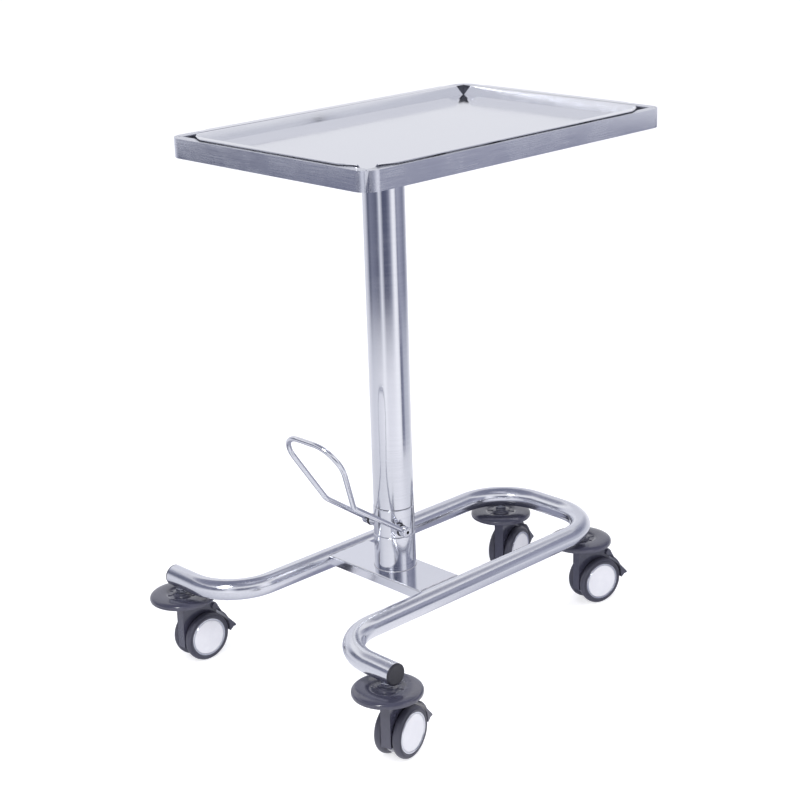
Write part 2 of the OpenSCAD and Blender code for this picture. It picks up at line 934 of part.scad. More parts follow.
on_floor() axle(3);  // rr_axle
on_floor() brake(3);  // rr_brake
on_floor() wheel(3, 1);  // rr_wheel_in
on_floor() wheel(3, -1);  // rr_wheel_out
on_floor() cap(3, 1);  // rr_cap_in
on_floor() cap(3, -1);  // rr_cap_out
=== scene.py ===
import logging
import math
from dataclasses import dataclass
from enum import Enum
from typing import Any, Sequence

import bmesh
import bpy
from mathutils import Matrix, Vector


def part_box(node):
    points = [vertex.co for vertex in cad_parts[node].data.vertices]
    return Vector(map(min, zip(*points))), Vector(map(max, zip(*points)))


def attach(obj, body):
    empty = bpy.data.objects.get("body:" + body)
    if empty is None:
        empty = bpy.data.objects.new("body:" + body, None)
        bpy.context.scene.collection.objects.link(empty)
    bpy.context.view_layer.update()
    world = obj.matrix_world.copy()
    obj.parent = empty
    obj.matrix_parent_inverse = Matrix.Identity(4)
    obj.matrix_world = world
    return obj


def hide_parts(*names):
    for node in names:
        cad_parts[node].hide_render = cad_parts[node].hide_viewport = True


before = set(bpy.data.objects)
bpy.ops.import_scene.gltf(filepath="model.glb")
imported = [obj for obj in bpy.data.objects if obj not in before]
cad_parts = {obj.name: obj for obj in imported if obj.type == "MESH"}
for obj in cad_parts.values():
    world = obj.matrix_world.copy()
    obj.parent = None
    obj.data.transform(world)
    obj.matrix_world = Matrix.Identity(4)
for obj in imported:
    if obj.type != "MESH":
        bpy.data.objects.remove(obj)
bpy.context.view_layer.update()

LOG = logging.getLogger("instrument_cart")
MM = 0.001
SIDE = Vector((0.0, 1.0, 0.0))
CASTERS = ("fl", "fr", "rl", "rr")


# ---------------------------------------------------------------- colour and nodes


def linear(colour: str) -> tuple[float, float, float, float]:
    """Turns an sRGB hex colour into linear red, green, blue and alpha.

    Args:
        colour: Six hex digits after a hash sign.

    Returns:
        The four linear values, with an alpha of one.
    """
    parts = [int(colour[i:i + 2], 16) / 255 for i in (1, 3, 5)]
    out = [p / 12.92 if p <= 0.04045 else ((p + 0.055) / 1.055) ** 2.4 for p in parts]
    return (out[0], out[1], out[2], 1.0)


def add_node(tree: bpy.types.NodeTree, kind: str, settings: dict[str, Any] | None = None,
             inputs: dict[str, Any] | None = None) -> bpy.types.Node:
    """Adds one shader node with its settings, values and links.

    Args:
        tree: The node tree that gets the node.
        kind: The node's type name.
        settings: Attributes to set on the node.
        inputs: Socket names with a value, or with the output socket that feeds them.

    Returns:
        The new node.
    """
    node = tree.nodes.new(kind)
    for name, value in (settings or {}).items():
        setattr(node, name, value)
    for name, value in (inputs or {}).items():
        socket = node.inputs[name]
        if isinstance(value, bpy.types.NodeSocket):
            tree.links.new(value, socket)
        else:
            socket.default_value = value
    return node


class Grain(Enum):
    """The way the polishing or brushing lines run, as stretch factors along X, Y and Z."""

    ALONG_X = (0.012, 1.0, 1.0)
    ALONG_Y = (1.0, 0.012, 1.0)
    LEVEL = (0.012, 0.012, 1.0)
    EVEN = (1.0, 1.0, 1.0)


@dataclass(frozen=True)
class Steel:
    """Stainless steel, with its polish or brushing.

    Attributes:
        name: The material's name.
        light: Brightest colour of the surface.
        dark: Colour in the hollows between the lines.
        gloss: Roughness of the clean surface.
        spread: How much the roughness rises in the lines and smudges.
        grain: The way the lines run.
        line_mm: Spacing of the lines; the real ones are finer than this.
        line_bump: Strength of the lines' relief.
        wave_mm: Length of the slow waves that the polisher leaves in the sheet.
        wave_bump: Strength of those waves.
    """

    name: str
    light: str
    dark: str
    gloss: float
    spread: float
    grain: Grain
    line_mm: float
    line_bump: float
    wave_mm: float = 60.0
    wave_bump: float = 0.05

    def build(self) -> bpy.types.Material:
        """Makes the material: metal with line noise in colour, roughness and relief."""
        mat = bpy.data.materials.new(self.name)
        mat.use_nodes = True
        tree = mat.node_tree
        shader = tree.nodes["Principled BSDF"]
        coord = add_node(tree, "ShaderNodeTexCoord")
        pitch = 1 / (self.line_mm * MM)
        lines_map = add_node(tree, "ShaderNodeMapping", None, {
            "Vector": coord.outputs["Object"],
            "Scale": [g * pitch for g in self.grain.value]})
        lines = add_node(tree, "ShaderNodeTexNoise", {"noise_dimensions": "3D"}, {
            "Vector": lines_map.outputs["Vector"], "Scale": 1.0, "Detail": 3.0, "Roughness": 0.6})
        smudge = add_node(tree, "ShaderNodeTexNoise", None, {
            "Vector": coord.outputs["Object"], "Scale": 1 / (self.wave_mm * MM), "Detail": 4.0,
            "Roughness": 0.55})
        mixed = add_node(tree, "ShaderNodeMath", {"operation": "MULTIPLY"})
        tree.links.new(lines.outputs["Fac"], mixed.inputs[0])
        tree.links.new(smudge.outputs["Fac"], mixed.inputs[1])
        rough = add_node(tree, "ShaderNodeMapRange", None, {
            "Value": mixed.outputs["Value"], "From Min": 0.12, "From Max": 0.42,
            "To Min": self.gloss, "To Max": self.gloss + self.spread})
        tint = add_node(tree, "ShaderNodeMix", {"data_type": "RGBA"})
        tree.links.new(lines.outputs["Fac"], tint.inputs[0])
        tint.inputs[6].default_value = linear(self.dark)
        tint.inputs[7].default_value = linear(self.light)
        wave = add_node(tree, "ShaderNodeBump", None, {
            "Strength": self.wave_bump, "Distance": 0.4 * MM, "Height": smudge.outputs["Fac"]})
        relief = add_node(tree, "ShaderNodeBump", None, {
            "Strength": self.line_bump, "Distance": 0.05 * MM, "Height": lines.outputs["Fac"],
            "Normal": wave.outputs["Normal"]})
        shader.inputs["Metallic"].default_value = 1.0
        tree.links.new(tint.outputs[2], shader.inputs["Base Color"])
        tree.links.new(rough.outputs["Result"], shader.inputs["Roughness"])
        tree.links.new(relief.outputs["Normal"], shader.inputs["Normal"])
        return mat


@dataclass(frozen=True)
class Moulded:
    """A moulded plastic or rubber, with a fine spark-eroded texture.

    Attributes:
        name: The material's name.
        light: Colour on the scuffed patches.
        dark: Colour of the clean moulding.
        gloss: Roughness of the clean moulding.
        spread: How much rougher the scuffed patches are.
        ior: Refractive index.
        texture_mm: Size of the mould's texture; the real one is finer than this.
        texture_bump: Strength of that texture.
        coat: Weight of the gloss skin that moulding against polished steel gives.
    """

    name: str
    light: str
    dark: str
    gloss: float
    spread: float
    ior: float
    texture_mm: float
    texture_bump: float
    coat: float = 0.0

    def build(self) -> bpy.types.Material:
        """Makes the material: a dielectric with fine texture and scuffed patches."""
        mat = bpy.data.materials.new(self.name)
        mat.use_nodes = True
        tree = mat.node_tree
        shader = tree.nodes["Principled BSDF"]
        coord = add_node(tree, "ShaderNodeTexCoord")
        texture = add_node(tree, "ShaderNodeTexNoise", None, {
            "Vector": coord.outputs["Object"], "Scale": 1 / (self.texture_mm * MM), "Detail": 2.0})
        scuff = add_node(tree, "ShaderNodeTexNoise", None, {
            "Vector": coord.outputs["Object"], "Scale": 1 / (18 * MM), "Detail": 6.0,
            "Roughness": 0.7})
        patch = add_node(tree, "ShaderNodeMapRange", None, {
            "Value": scuff.outputs["Fac"], "From Min": 0.45, "From Max": 0.75})
        rough = add_node(tree, "ShaderNodeMapRange", None, {
            "Value": patch.outputs["Result"], "To Min": self.gloss,
            "To Max": self.gloss + self.spread})
        tint = add_node(tree, "ShaderNodeMix", {"data_type": "RGBA"})
        tree.links.new(patch.outputs["Result"], tint.inputs[0])
        tint.inputs[6].default_value = linear(self.dark)
        tint.inputs[7].default_value = linear(self.light)
        relief = add_node(tree, "ShaderNodeBump", None, {
            "Strength": self.texture_bump, "Distance": 0.1 * MM,
            "Height": texture.outputs["Fac"]})
        shader.inputs["IOR"].default_value = self.ior
        shader.inputs["Coat Weight"].default_value = self.coat
        shader.inputs["Coat Roughness"].default_value = 0.08
        tree.links.new(tint.outputs[2], shader.inputs["Base Color"])
        tree.links.new(rough.outputs["Result"], shader.inputs["Roughness"])
        tree.links.new(relief.outputs["Normal"], shader.inputs["Normal"])
        return mat


class Finish(Enum):
    """Every finish on the cart."""

    # Mirror-polished 304 sheet: bright, with the sheet's slow waves and a few fine wipes
    MIRROR_SHEET = Steel("mirror_polished_stainless_sheet", "#e9eaee", "#dedfe5", 0.08, 0.08,
                         Grain.ALONG_X, 0.9, 0.02, 90.0, 0.012)
    # Brushed 304 sheet: even satin lines along the frame's long faces
    BRUSHED_LONG = Steel("brushed_stainless_sheet_lengthwise", "#d8dae2", "#bfc1cc", 0.17, 0.16,
                         Grain.ALONG_X, 0.8, 0.16)
    # The same sheet, where the lines follow the frame's short faces; its tint is a little lighter
    # than the lengthwise copy's, painted light on the short faces against painted shade on the long
    # ones
    BRUSHED_SHORT = Steel("brushed_stainless_sheet_crosswise", "#dfe1e9", "#c8cad5", 0.17, 0.16,
                          Grain.ALONG_Y, 0.8, 0.16)
    # Tube polished on a lathe: rings too fine to feel, near-mirror shine
    TURNED_TUBE = Steel("polished_stainless_tube_turned", "#e6e7ec", "#d3d5dc", 0.08, 0.12,
                        Grain.LEVEL, 1.2, 0.05, 45.0, 0.10)
    # Bent tube polished by belt after bending
    BELT_TUBE = Steel("polished_stainless_tube_belt", "#e6e7ec", "#d0d2da", 0.13, 0.14,
                      Grain.EVEN, 2.5, 0.04, 35.0, 0.06)
    # Bolts, hubs and rods as they come from the machine
    MACHINED = Steel("machined_stainless_bar", "#dadbe1", "#bfc1ca", 0.20, 0.14,
                     Grain.EVEN, 0.8, 0.10)
    # Bright nickel plating of the stems, hubs and cap rings
    PLATED = Steel("bright_nickel_plate", "#e4e5ea", "#d5d7de", 0.10, 0.08, Grain.EVEN, 1.0, 0.03)
    # Rolled sheet as it comes from the mill, dull on the side that nobody polishes, and darkened
    # further as painted shade for the inside of the frame's channel
    MILL = Steel("dull_mill_side_with_painted_shade", "#7f818d", "#62646f", 0.42, 0.2, Grain.EVEN, 1.5, 0.1)
    # Near-black finish for the faces inside the screws' sockets: painted shade that darkens the
    # socket's hollow
    BLACK_OXIDE = Steel("painted_shade_in_socket", "#202026", "#141418", 0.45, 0.2, Grain.EVEN, 0.8, 0.1)
    # TIG weld, wire-brushed: a little duller than the tube
    WELD = Steel("brushed_weld_bead", "#d6d6db", "#bcbcc4", 0.24, 0.18, Grain.EVEN, 0.7, 0.20)
    # Turned brass
    BRASS = Steel("turned_brass", "#cdb06a", "#b2934f", 0.22, 0.15, Grain.LEVEL, 0.6, 0.10)
    # Glass-filled nylon: dark blue-grey with a low sheen and a gloss skin
    GREY_NYLON = Moulded("moulded_grey_nylon", "#434353", "#3a3a49", 0.20, 0.05, 1.53, 0.5, 0.03,
                         0.6)
    # Thermoplastic rubber tread: grey and nearly matt
    TREAD = Moulded("moulded_grey_tpe_rubber", "#484855", "#3c3c49", 0.38, 0.12, 1.50, 0.7, 0.15)
    # ABS cap: white with a soft gloss
    WHITE_ABS = Moulded("moulded_white_abs", "#dcdce1", "#d5d5db", 0.28, 0.10, 1.54, 0.6, 0.04,
                        0.2)
    # Polyethylene plug: black and slightly waxy
    BLACK_PE = Moulded("moulded_black_polyethylene", "#262630", "#1e1e27", 0.36, 0.18, 1.51, 0.8,
                       0.15)
    # Turned nylon bush
    NYLON = Moulded("turned_natural_nylon", "#e6e3d6", "#d6d2c2", 0.40, 0.15, 1.53, 0.6, 0.10)
    # Painted casting of the pump
    PAINT = Moulded("painted_iron_casting", "#4a4a52", "#35353c", 0.42, 0.20, 1.50, 1.2, 0.35)

    def material(self) -> bpy.types.Material:
        """Gives this finish's material, made once and then shared."""
        found = bpy.data.materials.get(self.value.name)
        return found or self.value.build()


# ---------------------------------------------------------------- mesh tools


@dataclass(frozen=True)
class Piece:
    """What a finished mesh stands for on the cart.

    Attributes:
        name: The piece's name.
        body: The CAD body that it rides on.
        slot: The record's material slot.
        finish: Its finish.
        replaces: CAD nodes that it stands for.
    """

    name: str
    body: str
    # slot: The record's material slot; not used.
    slot: str
    finish: Finish
    replaces: tuple[str, ...] = ()

    def place(self, bm: bmesh.types.BMesh, sharp: float = 35.0, wall: float = 0.0,
              wall_side: float = -1.0, bevel: float = 0.0, segments: int = 2,
              more: Sequence[Finish] = (), inside: Finish | None = None) -> bpy.types.Object:
        """Turns a bmesh into the piece, dresses it and hangs it on its body.

        Args:
            bm: The finished bmesh, in metres in the row frame. It is freed here.
            sharp: Angle in degrees above which an edge is drawn sharp.
            wall: Wall thickness in metres for an open skin, or 0.
            wall_side: Which side of the skin the wall goes to: -1 inside, 1 outside.
            bevel: Width in metres of the rounding on sharp edges, or 0.
            segments: Number of steps in that rounding.
            more: Further finishes, for faces with a material index above 0.
            inside: Finish of the wall's hidden side, or None for the same.

        Returns:
            The object.
        """
        bmesh.ops.remove_doubles(bm, verts=bm.verts, dist=1e-6)
        bmesh.ops.recalc_face_normals(bm, faces=bm.faces)
        mesh = bpy.data.meshes.new(self.name)
        bm.to_mesh(mesh)
        bm.free()
        for finish in (self.finish, *more, *((inside,) * (1 + len(more)) if inside else ())):
            mesh.materials.append(finish.material())
        for poly in mesh.polygons:
            poly.use_smooth = True
        mesh.set_sharp_from_angle(angle=math.radians(sharp))
        obj = bpy.data.objects.new(self.name, mesh)
        bpy.context.scene.collection.objects.link(obj)
        if wall:
            solid = obj.modifiers.new("wall", "SOLIDIFY")
            solid.thickness = wall
            solid.offset = wall_side
            solid.use_even_offset = True
            solid.material_offset = 1 + len(more) if inside else 0
        if bevel:
            soft = obj.modifiers.new("edges", "BEVEL")
            soft.width = bevel
            soft.segments = segments
            soft.limit_method = "ANGLE"
            soft.angle_limit = math.radians(sharp)
            soft.harden_normals = True
        flat = obj.modifiers.new("flat_faces", "WEIGHTED_NORMAL")
        flat.keep_sharp = True
        if self.replaces:
            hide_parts(*self.replaces)
        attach(obj, self.body)
        LOG.info("%s: %d faces on %s", self.name, len(mesh.polygons), self.body)
        return obj


def turned(profile: Sequence[tuple[float, float]], at: Matrix, closed: bool = True,
           steps: int = 96) -> bmesh.types.BMesh:
    """Spins a profile once round an axis, as a lathe does.

    Args:
        profile: Radius and height of each corner, in millimetres.
        at: Where the axis stands; the profile turns round its Z.
        closed: Whether the last corner joins the first.
        steps: Number of steps round.

    Returns:
        The spun bmesh, in metres.
    """
    bm = bmesh.new()
    verts = [bm.verts.new((r * MM, 0.0, z * MM)) for r, z in profile]
    pairs = list(zip(verts, verts[1:])) + ([(verts[-1], verts[0])] if closed else [])
    edges = [bm.edges.new(pair) for pair in pairs]
    bmesh.ops.spin(bm, geom=verts + edges, cent=(0, 0, 0), axis=(0, 0, 1), dvec=(0, 0, 0),
                   angle=math.tau, steps=steps, use_merge=True, use_duplicate=False)
    bmesh.ops.remove_doubles(bm, verts=bm.verts, dist=1e-6)
    bmesh.ops.transform(bm, matrix=at, verts=bm.verts)
    return bm


def merge(target: bmesh.types.BMesh, extra: bmesh.types.BMesh, index: int = 0) -> None:
    """Adds one bmesh to another and frees it.

    Args:
        target: The bmesh that grows.
        extra: The bmesh that is added.
        index: Material index for the added faces.
    """
    for face in extra.faces:
        face.material_index = index
    mesh = bpy.data.meshes.new("part")
    extra.to_mesh(mesh)
    extra.free()
    target.from_mesh(mesh)
    bpy.data.meshes.remove(mesh)


def soften(bm: bmesh.types.BMesh, geom: Sequence[Any], width: float, segments: int,
           affect: str = "EDGES") -> None:
    """Rounds edges or corners of a bmesh.

    Args:
        bm: The bmesh.
        geom: The edges or vertices to round.
        width: Width of the rounding, in the bmesh's own units.
        segments: Number of steps in the rounding.
        affect: "EDGES" or "VERTICES".
    """
    bmesh.ops.bevel(bm, geom=geom, offset=width, offset_type="OFFSET", segments=segments,
                    profile=0.5, affect=affect, clamp_overlap=True, material=-1)


def to_metres(bm: bmesh.types.BMesh, at: Matrix) -> None:
    """Shrinks a bmesh from millimetres to metres and puts it in place.

    Args:
        bm: The bmesh, in millimetres.
        at: Where its origin goes, in metres.
    """
    bmesh.ops.transform(bm, matrix=at @ Matrix.Scale(MM, 4), verts=bm.verts)


def aimed(origin: Vector, direction: Vector) -> Matrix:
    """Gives the matrix that moves the origin to a point and turns Z to a direction.

    Args:
        origin: The point, in metres.
        direction: Where Z goes.

    Returns:
        The matrix.
    """
    return Matrix.Translation(origin) @ direction.to_track_quat("Z", "Y").to_matrix().to_4x4()


def loop_edges(geom: Sequence[Any]) -> tuple[list[bmesh.types.BMVert], list[bmesh.types.BMEdge]]:
    """Sorts an operator's output into new vertices and the edges between them.

    Args:
        geom: What the operator returned.

    Returns:
        The vertices, and the edges whose ends are both among them.
    """
    verts = [g for g in geom if isinstance(g, bmesh.types.BMVert)]
    kept = set(verts)
    edges = [g for g in geom if isinstance(g, bmesh.types.BMEdge) and set(g.verts) <= kept]
    return verts, edges


class BentTube:
    """A round tube, made as a bender makes it: straight runs and bends from one end.

    Attributes:
        bm: The bmesh that grows with each run.
    """

    def __init__(self, start: Vector, heading: Vector, radius: float, sides: int) -> None:
        """Starts the tube with one ring.

        Args:
            start: Centre of the tube's first end, in metres.
            heading: Direction of the first run.
            radius: Outer radius, in metres.
            sides: Number of sides of the ring.
        """
        self.bm = bmesh.new()
        made = bmesh.ops.create_circle(self.bm, cap_ends=False, radius=radius, segments=sides,
                                       matrix=aimed(start, heading))
        self.verts = made["verts"]
        self.edges = list(self.bm.edges)

    def straight(self, travel: Vector) -> None:
        """Draws a straight run.

        Args:
            travel: The run, in metres.
        """
        out = bmesh.ops.extrude_edge_only(self.bm, edges=self.edges)
        self.verts, self.edges = loop_edges(out["geom"])
        bmesh.ops.translate(self.bm, verts=self.verts, vec=travel)

    def bend(self, pivot: Vector, axis: Vector, angle: float, steps: int) -> None:
        """Bends on round a pivot.

        Args:
            pivot: Centre of the bend, in metres.
            axis: Axis of the bend.
            angle: How far it turns, in radians.
            steps: Number of steps in the bend.
        """
        out = bmesh.ops.spin(self.bm, geom=self.verts + self.edges, cent=pivot, axis=axis,
                             dvec=(0, 0, 0), angle=angle, steps=steps, use_duplicate=False)
        self.verts, self.edges = loop_edges(out["geom_last"])

    @classmethod
    def along(cls, route: Sequence[Vector], bends: Sequence[float], radius: float,
              sides: int = 32, step: float = 6.0) -> "BentTube":
        """Makes a tube along a route, with one bend at each inner point.

        Args:
            route: The route's corners, in metres.
            bends: Bend radius at each inner corner, in metres.
            radius: Outer radius, in metres.
            sides: Number of sides of the ring.
            step: Degrees in one step of a bend.

        Returns:
            The tube, with open ends.
        """
        runs = [(b - a).normalized() for a, b in zip(route, route[1:])]
        turns = [a.angle(b) for a, b in zip(runs, runs[1:])]
        cuts = [0.0, *(r * math.tan(t / 2) for r, t in zip(bends, turns)), 0.0]
        tube = cls(route[0], runs[0], radius, sides)
        for i, run in enumerate(runs):
            length = (route[i + 1] - route[i]).length - cuts[i] - cuts[i + 1]
            tube.straight(run * length)
            if i < len(turns):
                axis = run.cross(runs[i + 1]).normalized()
                pivot = route[i + 1] - run * cuts[i + 1] + axis.cross(run) * bends[i]
                steps = max(4, round(math.degrees(turns[i]) / step))
                tube.bend(pivot, axis, turns[i], steps)
        return tube


def weld_ring(radius: float, width: float, at: Matrix, ripples: int) -> bmesh.types.BMesh:
    """Lays a rippled weld bead round a tube.

    Args:
        radius: Radius of the bead's centre line, in millimetres.
        width: Radius of the bead itself, in millimetres.
        at: Where the ring lies.
        ripples: Number of ripples round it.

    Returns:
        The bead's bmesh.
    """
    corners = [(radius + width * math.cos(a), width * math.sin(a))
               for a in (math.tau * i / 10 for i in range(10))]
    bm = turned(corners, Matrix.Identity(4), True, ripples * 4)
    for vert in bm.verts:
        angle = math.atan2(vert.co.y, vert.co.x)
        push = 1 + 0.006 * math.sin(angle * ripples) + 0.003 * math.sin(angle * 5 + 1)
        vert.co.x *= push
        vert.co.y *= push
    bmesh.ops.transform(bm, matrix=at, verts=bm.verts)
    return bm


def weld_line(start: Vector, end: Vector, width: float) -> bmesh.types.BMesh:
    """Lays a straight rippled weld bead.

    Args:
        start: One end, in metres.
        end: The other end, in metres.
        width: Radius of the bead, in metres.

    Returns:
        The bead's bmesh, with closed ends.
    """
    run = end - start
    count = max(8, int(run.length / (1.1 * MM)))
    tube = BentTube(start, run, width, 10)
    for i in range(count):
        tube.straight(run / count)
        swell = 1.0 + 0.12 * math.sin(i * 1.9) + 0.05 * math.sin(i * 0.37)
        centre = start + run * (i + 1) / count
        grow = Matrix.Translation(centre) @ Matrix.Scale(swell, 4) @ Matrix.Translation(-centre)
        bmesh.ops.transform(tube.bm, matrix=grow, verts=tube.verts)
    bmesh.ops.holes_fill(tube.bm, edges=tube.bm.edges, sides=0)
    return tube.bm


def refined(node: str, at: Matrix | None = None) -> bmesh.types.BMesh:
    """Copies a CAD node's mesh, merged and with its flat faces made whole.

    Args:
        node: The CAD node.
        at: A matrix for the copy, or None.

    Returns:
        The merged bmesh.
    """
    bm = bmesh.new()
    bm.from_mesh(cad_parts[node].data)
    bmesh.ops.remove_doubles(bm, verts=bm.verts, dist=2e-6)
    bmesh.ops.dissolve_limit(bm, angle_limit=math.radians(0.6), verts=bm.verts, edges=bm.edges,
                             delimit={"NORMAL"})
    if at is not None:
        bmesh.ops.transform(bm, matrix=at, verts=bm.verts)
    return bm


def middle(node: str) -> Vector:
    """Gives the middle of a CAD node's box.

    Args:
        node: The CAD node.

    Returns:
        The middle, in metres.
    """
    low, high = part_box(node)
    return (low + high) / 2


def foot_of(node: str) -> Matrix:
    """Gives the place of the middle of a CAD node's underside.

    Args:
        node: The CAD node.

    Returns:
        A matrix that moves the origin there, in metres.
    """
    low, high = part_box(node)
    return Matrix.Translation(((low.x + high.x) / 2, (low.y + high.y) / 2, low.z))


def dress(node: str, finish: Finish) -> None:
    """Gives a CAD node a better material in every slot.

    Args:
        node: The CAD node.
        finish: Its finish.
    """
    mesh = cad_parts[node].data
    mesh.materials.clear()
    mesh.materials.append(finish.material())
    LOG.info("%s keeps its CAD shape", node)


# ---------------------------------------------------------------- the tray and its frame


@dataclass
class TrayTop:
    """The lift-off tray, its channel frame and the rails under it. Sizes in millimetres.

    Attributes:
        sheet: Thickness of the tray's sheet.
        lip: Width of the lip.
        lean: How far each wall leans out.
        notch: Width of the open notch at each wall's end.
        chamfer: What the lip's outer edge loses at each end.
        corner_gap: Gap between two walls at the floor's corners.
        fold: Radius of the tray's folds.
        frame_sheet: Thickness of the frame's sheet.
        flange: Width of the frame's flanges.
        corner: Outer radius of the frame's corners.
        frame_fold: Radius of the frame's folds.
        mitre: Width of the hairline at each mitre.
    """

    sheet: float = 1.2
    lip: float = 12.0
    lean: float = 2.0
    notch: float = 14.0
    chamfer: float = 26.0
    corner_gap: float = 1.5
    fold: float = 1.2
    frame_sheet: float = 1.5
    flange: float = 15.0
    corner: float = 24.0
    frame_fold: float = 1.3
    mitre: float = 0.5

    def build(self) -> None:
        """Makes the tray, the frame, and dresses the rails, plate and screws."""
        self.make_tray()
        self.make_frame()
        rails = refined("cross_rails")
        Piece("support_rails", "head", "satin_frame", Finish.BRUSHED_SHORT,
              ("cross_rails",)).place(rails, bevel=0.5 * MM)
        plate = refined("mounting_plate")
        Piece("head_plate", "head", "plain_steel", Finish.MACHINED,
              ("mounting_plate",)).place(plate, bevel=0.6 * MM)
        dress("mounting_screws", Finish.MACHINED)

    def make_tray(self) -> None:
        """Folds the tray from one sheet with notched corners."""
        low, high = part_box("tray")
        size = (high - low) / MM
        inset = self.lip + self.lean
        half = (size.x / 2 - inset, size.y / 2 - inset)
        rise = size.z - self.sheet
        bm = bmesh.new()
        bmesh.ops.create_grid(bm, x_segments=1, y_segments=1, size=1.0)
        bmesh.ops.scale(bm, vec=(half[0], half[1], 1.0), verts=bm.verts)
        for axis in (0, 1):
            for sign in (-1, 1):
                point = Vector((0, 0, 0))
                point[axis] = sign * (half[axis] - self.corner_gap)
                normal = Vector((0, 0, 0))
                normal[axis] = 1.0
                geom = [*bm.verts, *bm.edges, *bm.faces]
                bmesh.ops.bisect_plane(bm, geom=geom, plane_co=point, plane_no=normal)
        folds: list[bmesh.types.BMEdge] = []
        for axis in (0, 1):
            for sign in (-1, 1):
                folds += self.fold_side(bm, axis, sign, half, rise)
        soften(bm, folds, self.fold, 5)
        to_metres(bm, foot_of("tray"))
        bmesh.ops.recalc_face_normals(bm, faces=bm.faces)
        floor = max(bm.faces, key=lambda f: f.calc_area())
        side = 1.0 if floor.normal.z > 0 else -1.0
        Piece("lift_off_tray", "tray", "polished_sheet", Finish.MIRROR_SHEET,
              ("tray",)).place(bm, sharp=50, wall=self.sheet * MM, wall_side=side,
                               bevel=0.25 * MM)

    def fold_side(self, bm: bmesh.types.BMesh, axis: int, sign: int, half: tuple[float, float],
                  rise: float) -> list[bmesh.types.BMEdge]:
        """Folds up one wall and folds out its lip.

        Args:
            bm: The tray's bmesh, in millimetres.
            axis: Axis that the side faces along, 0 or 1.
            sign: Side of that axis.
            half: Half sizes of the floor.
            rise: Height from the floor's underside to the lip's underside.

        Returns:
            The two fold edges.
        """
        along = 1 - axis
        reach = half[along] - self.corner_gap
        start = [e for e in bm.edges
                 if all(abs(v.co[axis] - sign * half[axis]) < 1e-4 and v.co.z < 1e-4
                        and abs(v.co[along]) < reach + 1e-4 for v in e.verts)]
        steps = (
            (self.lean, rise, self.notch),
            (self.lip, 0.0, self.notch + self.chamfer),
        )
        edges = start
        made = list(start)
        for out, up, cut in steps:
            result = bmesh.ops.extrude_edge_only(bm, edges=edges)
            verts, edges = loop_edges(result["geom"])
            travel = Vector((0, 0, up))
            travel[axis] = sign * out
            bmesh.ops.translate(bm, verts=verts, vec=travel)
            for vert in verts:
                vert.co[along] = math.copysign(reach - cut, vert.co[along])
            if cut == self.notch:
                made += edges
        return made

    def make_frame(self) -> None:
        """Rolls the channel round the tray, with mitred flanges."""
        low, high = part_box("tray_frame")
        size = (high - low) / MM
        half = (size.x / 2, size.y / 2)
        bm = bmesh.new()
        bmesh.ops.create_grid(bm, x_segments=1, y_segments=1, size=1.0)
        bmesh.ops.scale(bm, vec=(half[0], half[1], 1.0), verts=bm.verts)
        soften(bm, list(bm.verts), self.corner, 14, "VERTICES")
        bmesh.ops.delete(bm, geom=list(bm.faces), context="FACES_ONLY")
        lower = list(bm.edges)
        out = bmesh.ops.extrude_edge_only(bm, edges=lower)
        verts, upper = loop_edges(out["geom"])
        bmesh.ops.translate(bm, verts=verts, vec=(0, 0, size.z))
        for rim, height in ((lower, 0.0), (upper, size.z)):
            made = bmesh.ops.create_grid(bm, x_segments=1, y_segments=1, size=1.0,
                                         matrix=Matrix.Translation((0, 0, height)))
            inner = (half[0] - self.flange, half[1] - self.flange, 1.0)
            bmesh.ops.scale(bm, vec=inner, verts=made["verts"])
            patch = [f for f in bm.faces if all(v in made["verts"] for v in f.verts)]
            hole = list(patch[0].edges)
            bmesh.ops.delete(bm, geom=patch, context="FACES_ONLY")
            bmesh.ops.bridge_loops(bm, edges=rim + hole)
        self.cut_mitres(bm, half, size.z)
        self.round_folds(bm, size.z)
        wall = [f for f in bm.faces if abs(f.normal.z) < 0.5]
        # Faces across X take the crosswise copy with its lighter tint (painted light); the long
        # faces keep the darker tint (painted shade)
        for face in wall:
            face.material_index = 1 if abs(face.normal.x) > abs(face.normal.y) else 0
        to_metres(bm, foot_of("tray_frame"))
        # The channel's hidden inner side takes the dark dull finish: partly unpolished steel,
        # partly painted shade inside the channel
        Piece("tray_channel", "head", "satin_frame", Finish.BRUSHED_LONG,
              ("tray_frame",)).place(bm, sharp=40, wall=self.frame_sheet * MM,
                                     more=(Finish.BRUSHED_SHORT,), inside=Finish.MILL)

    def cut_mitres(self, bm: bmesh.types.BMesh, half: tuple[float, float], top: float) -> None:
        """Opens a hairline along each mitre of both flanges.

        Args:
            bm: The frame's bmesh, in millimetres.
            half: Half sizes of the frame.
            top: Height of the frame.
        """
        for sx in (-1, 1):
            for sy in (-1, 1):
                corner = Vector((sx * half[0], sy * half[1], 0))
                normal = Vector((sx, -sy, 0)).normalized()
                for shift in (-self.mitre / 2, self.mitre / 2):
                    near = [f for f in bm.faces if self.is_flange(f, top)
                            and (f.calc_center_median().xy - corner.xy).length < 400]
                    geom = set(near)
                    for face in near:
                        geom.update(face.edges)
                        geom.update(face.verts)
                    bmesh.ops.bisect_plane(bm, geom=list(geom), dist=1e-5,
                                           plane_co=corner + normal * shift, plane_no=normal)
        gone = []
        for face in bm.faces:
            centre = face.calc_center_median()
            offset = abs(abs(centre.x) - half[0] - (abs(centre.y) - half[1])) / math.sqrt(2)
            if self.is_flange(face, top) and offset < self.mitre / 2 - 0.01:
                gone.append(face)
        bmesh.ops.delete(bm, geom=gone, context="FACES_ONLY")

    @staticmethod
    def is_flange(face: bmesh.types.BMFace, top: float) -> bool:
        """Tells whether a face lies wholly in the upper or the lower flange.

        Args:
            face: The face, in millimetres.
            top: Height of the frame.

        Returns:
            True for a flange's face.
        """
        return all(v.co.z < 1e-4 for v in face.verts) or all(
            v.co.z > top - 1e-4 for v in face.verts)

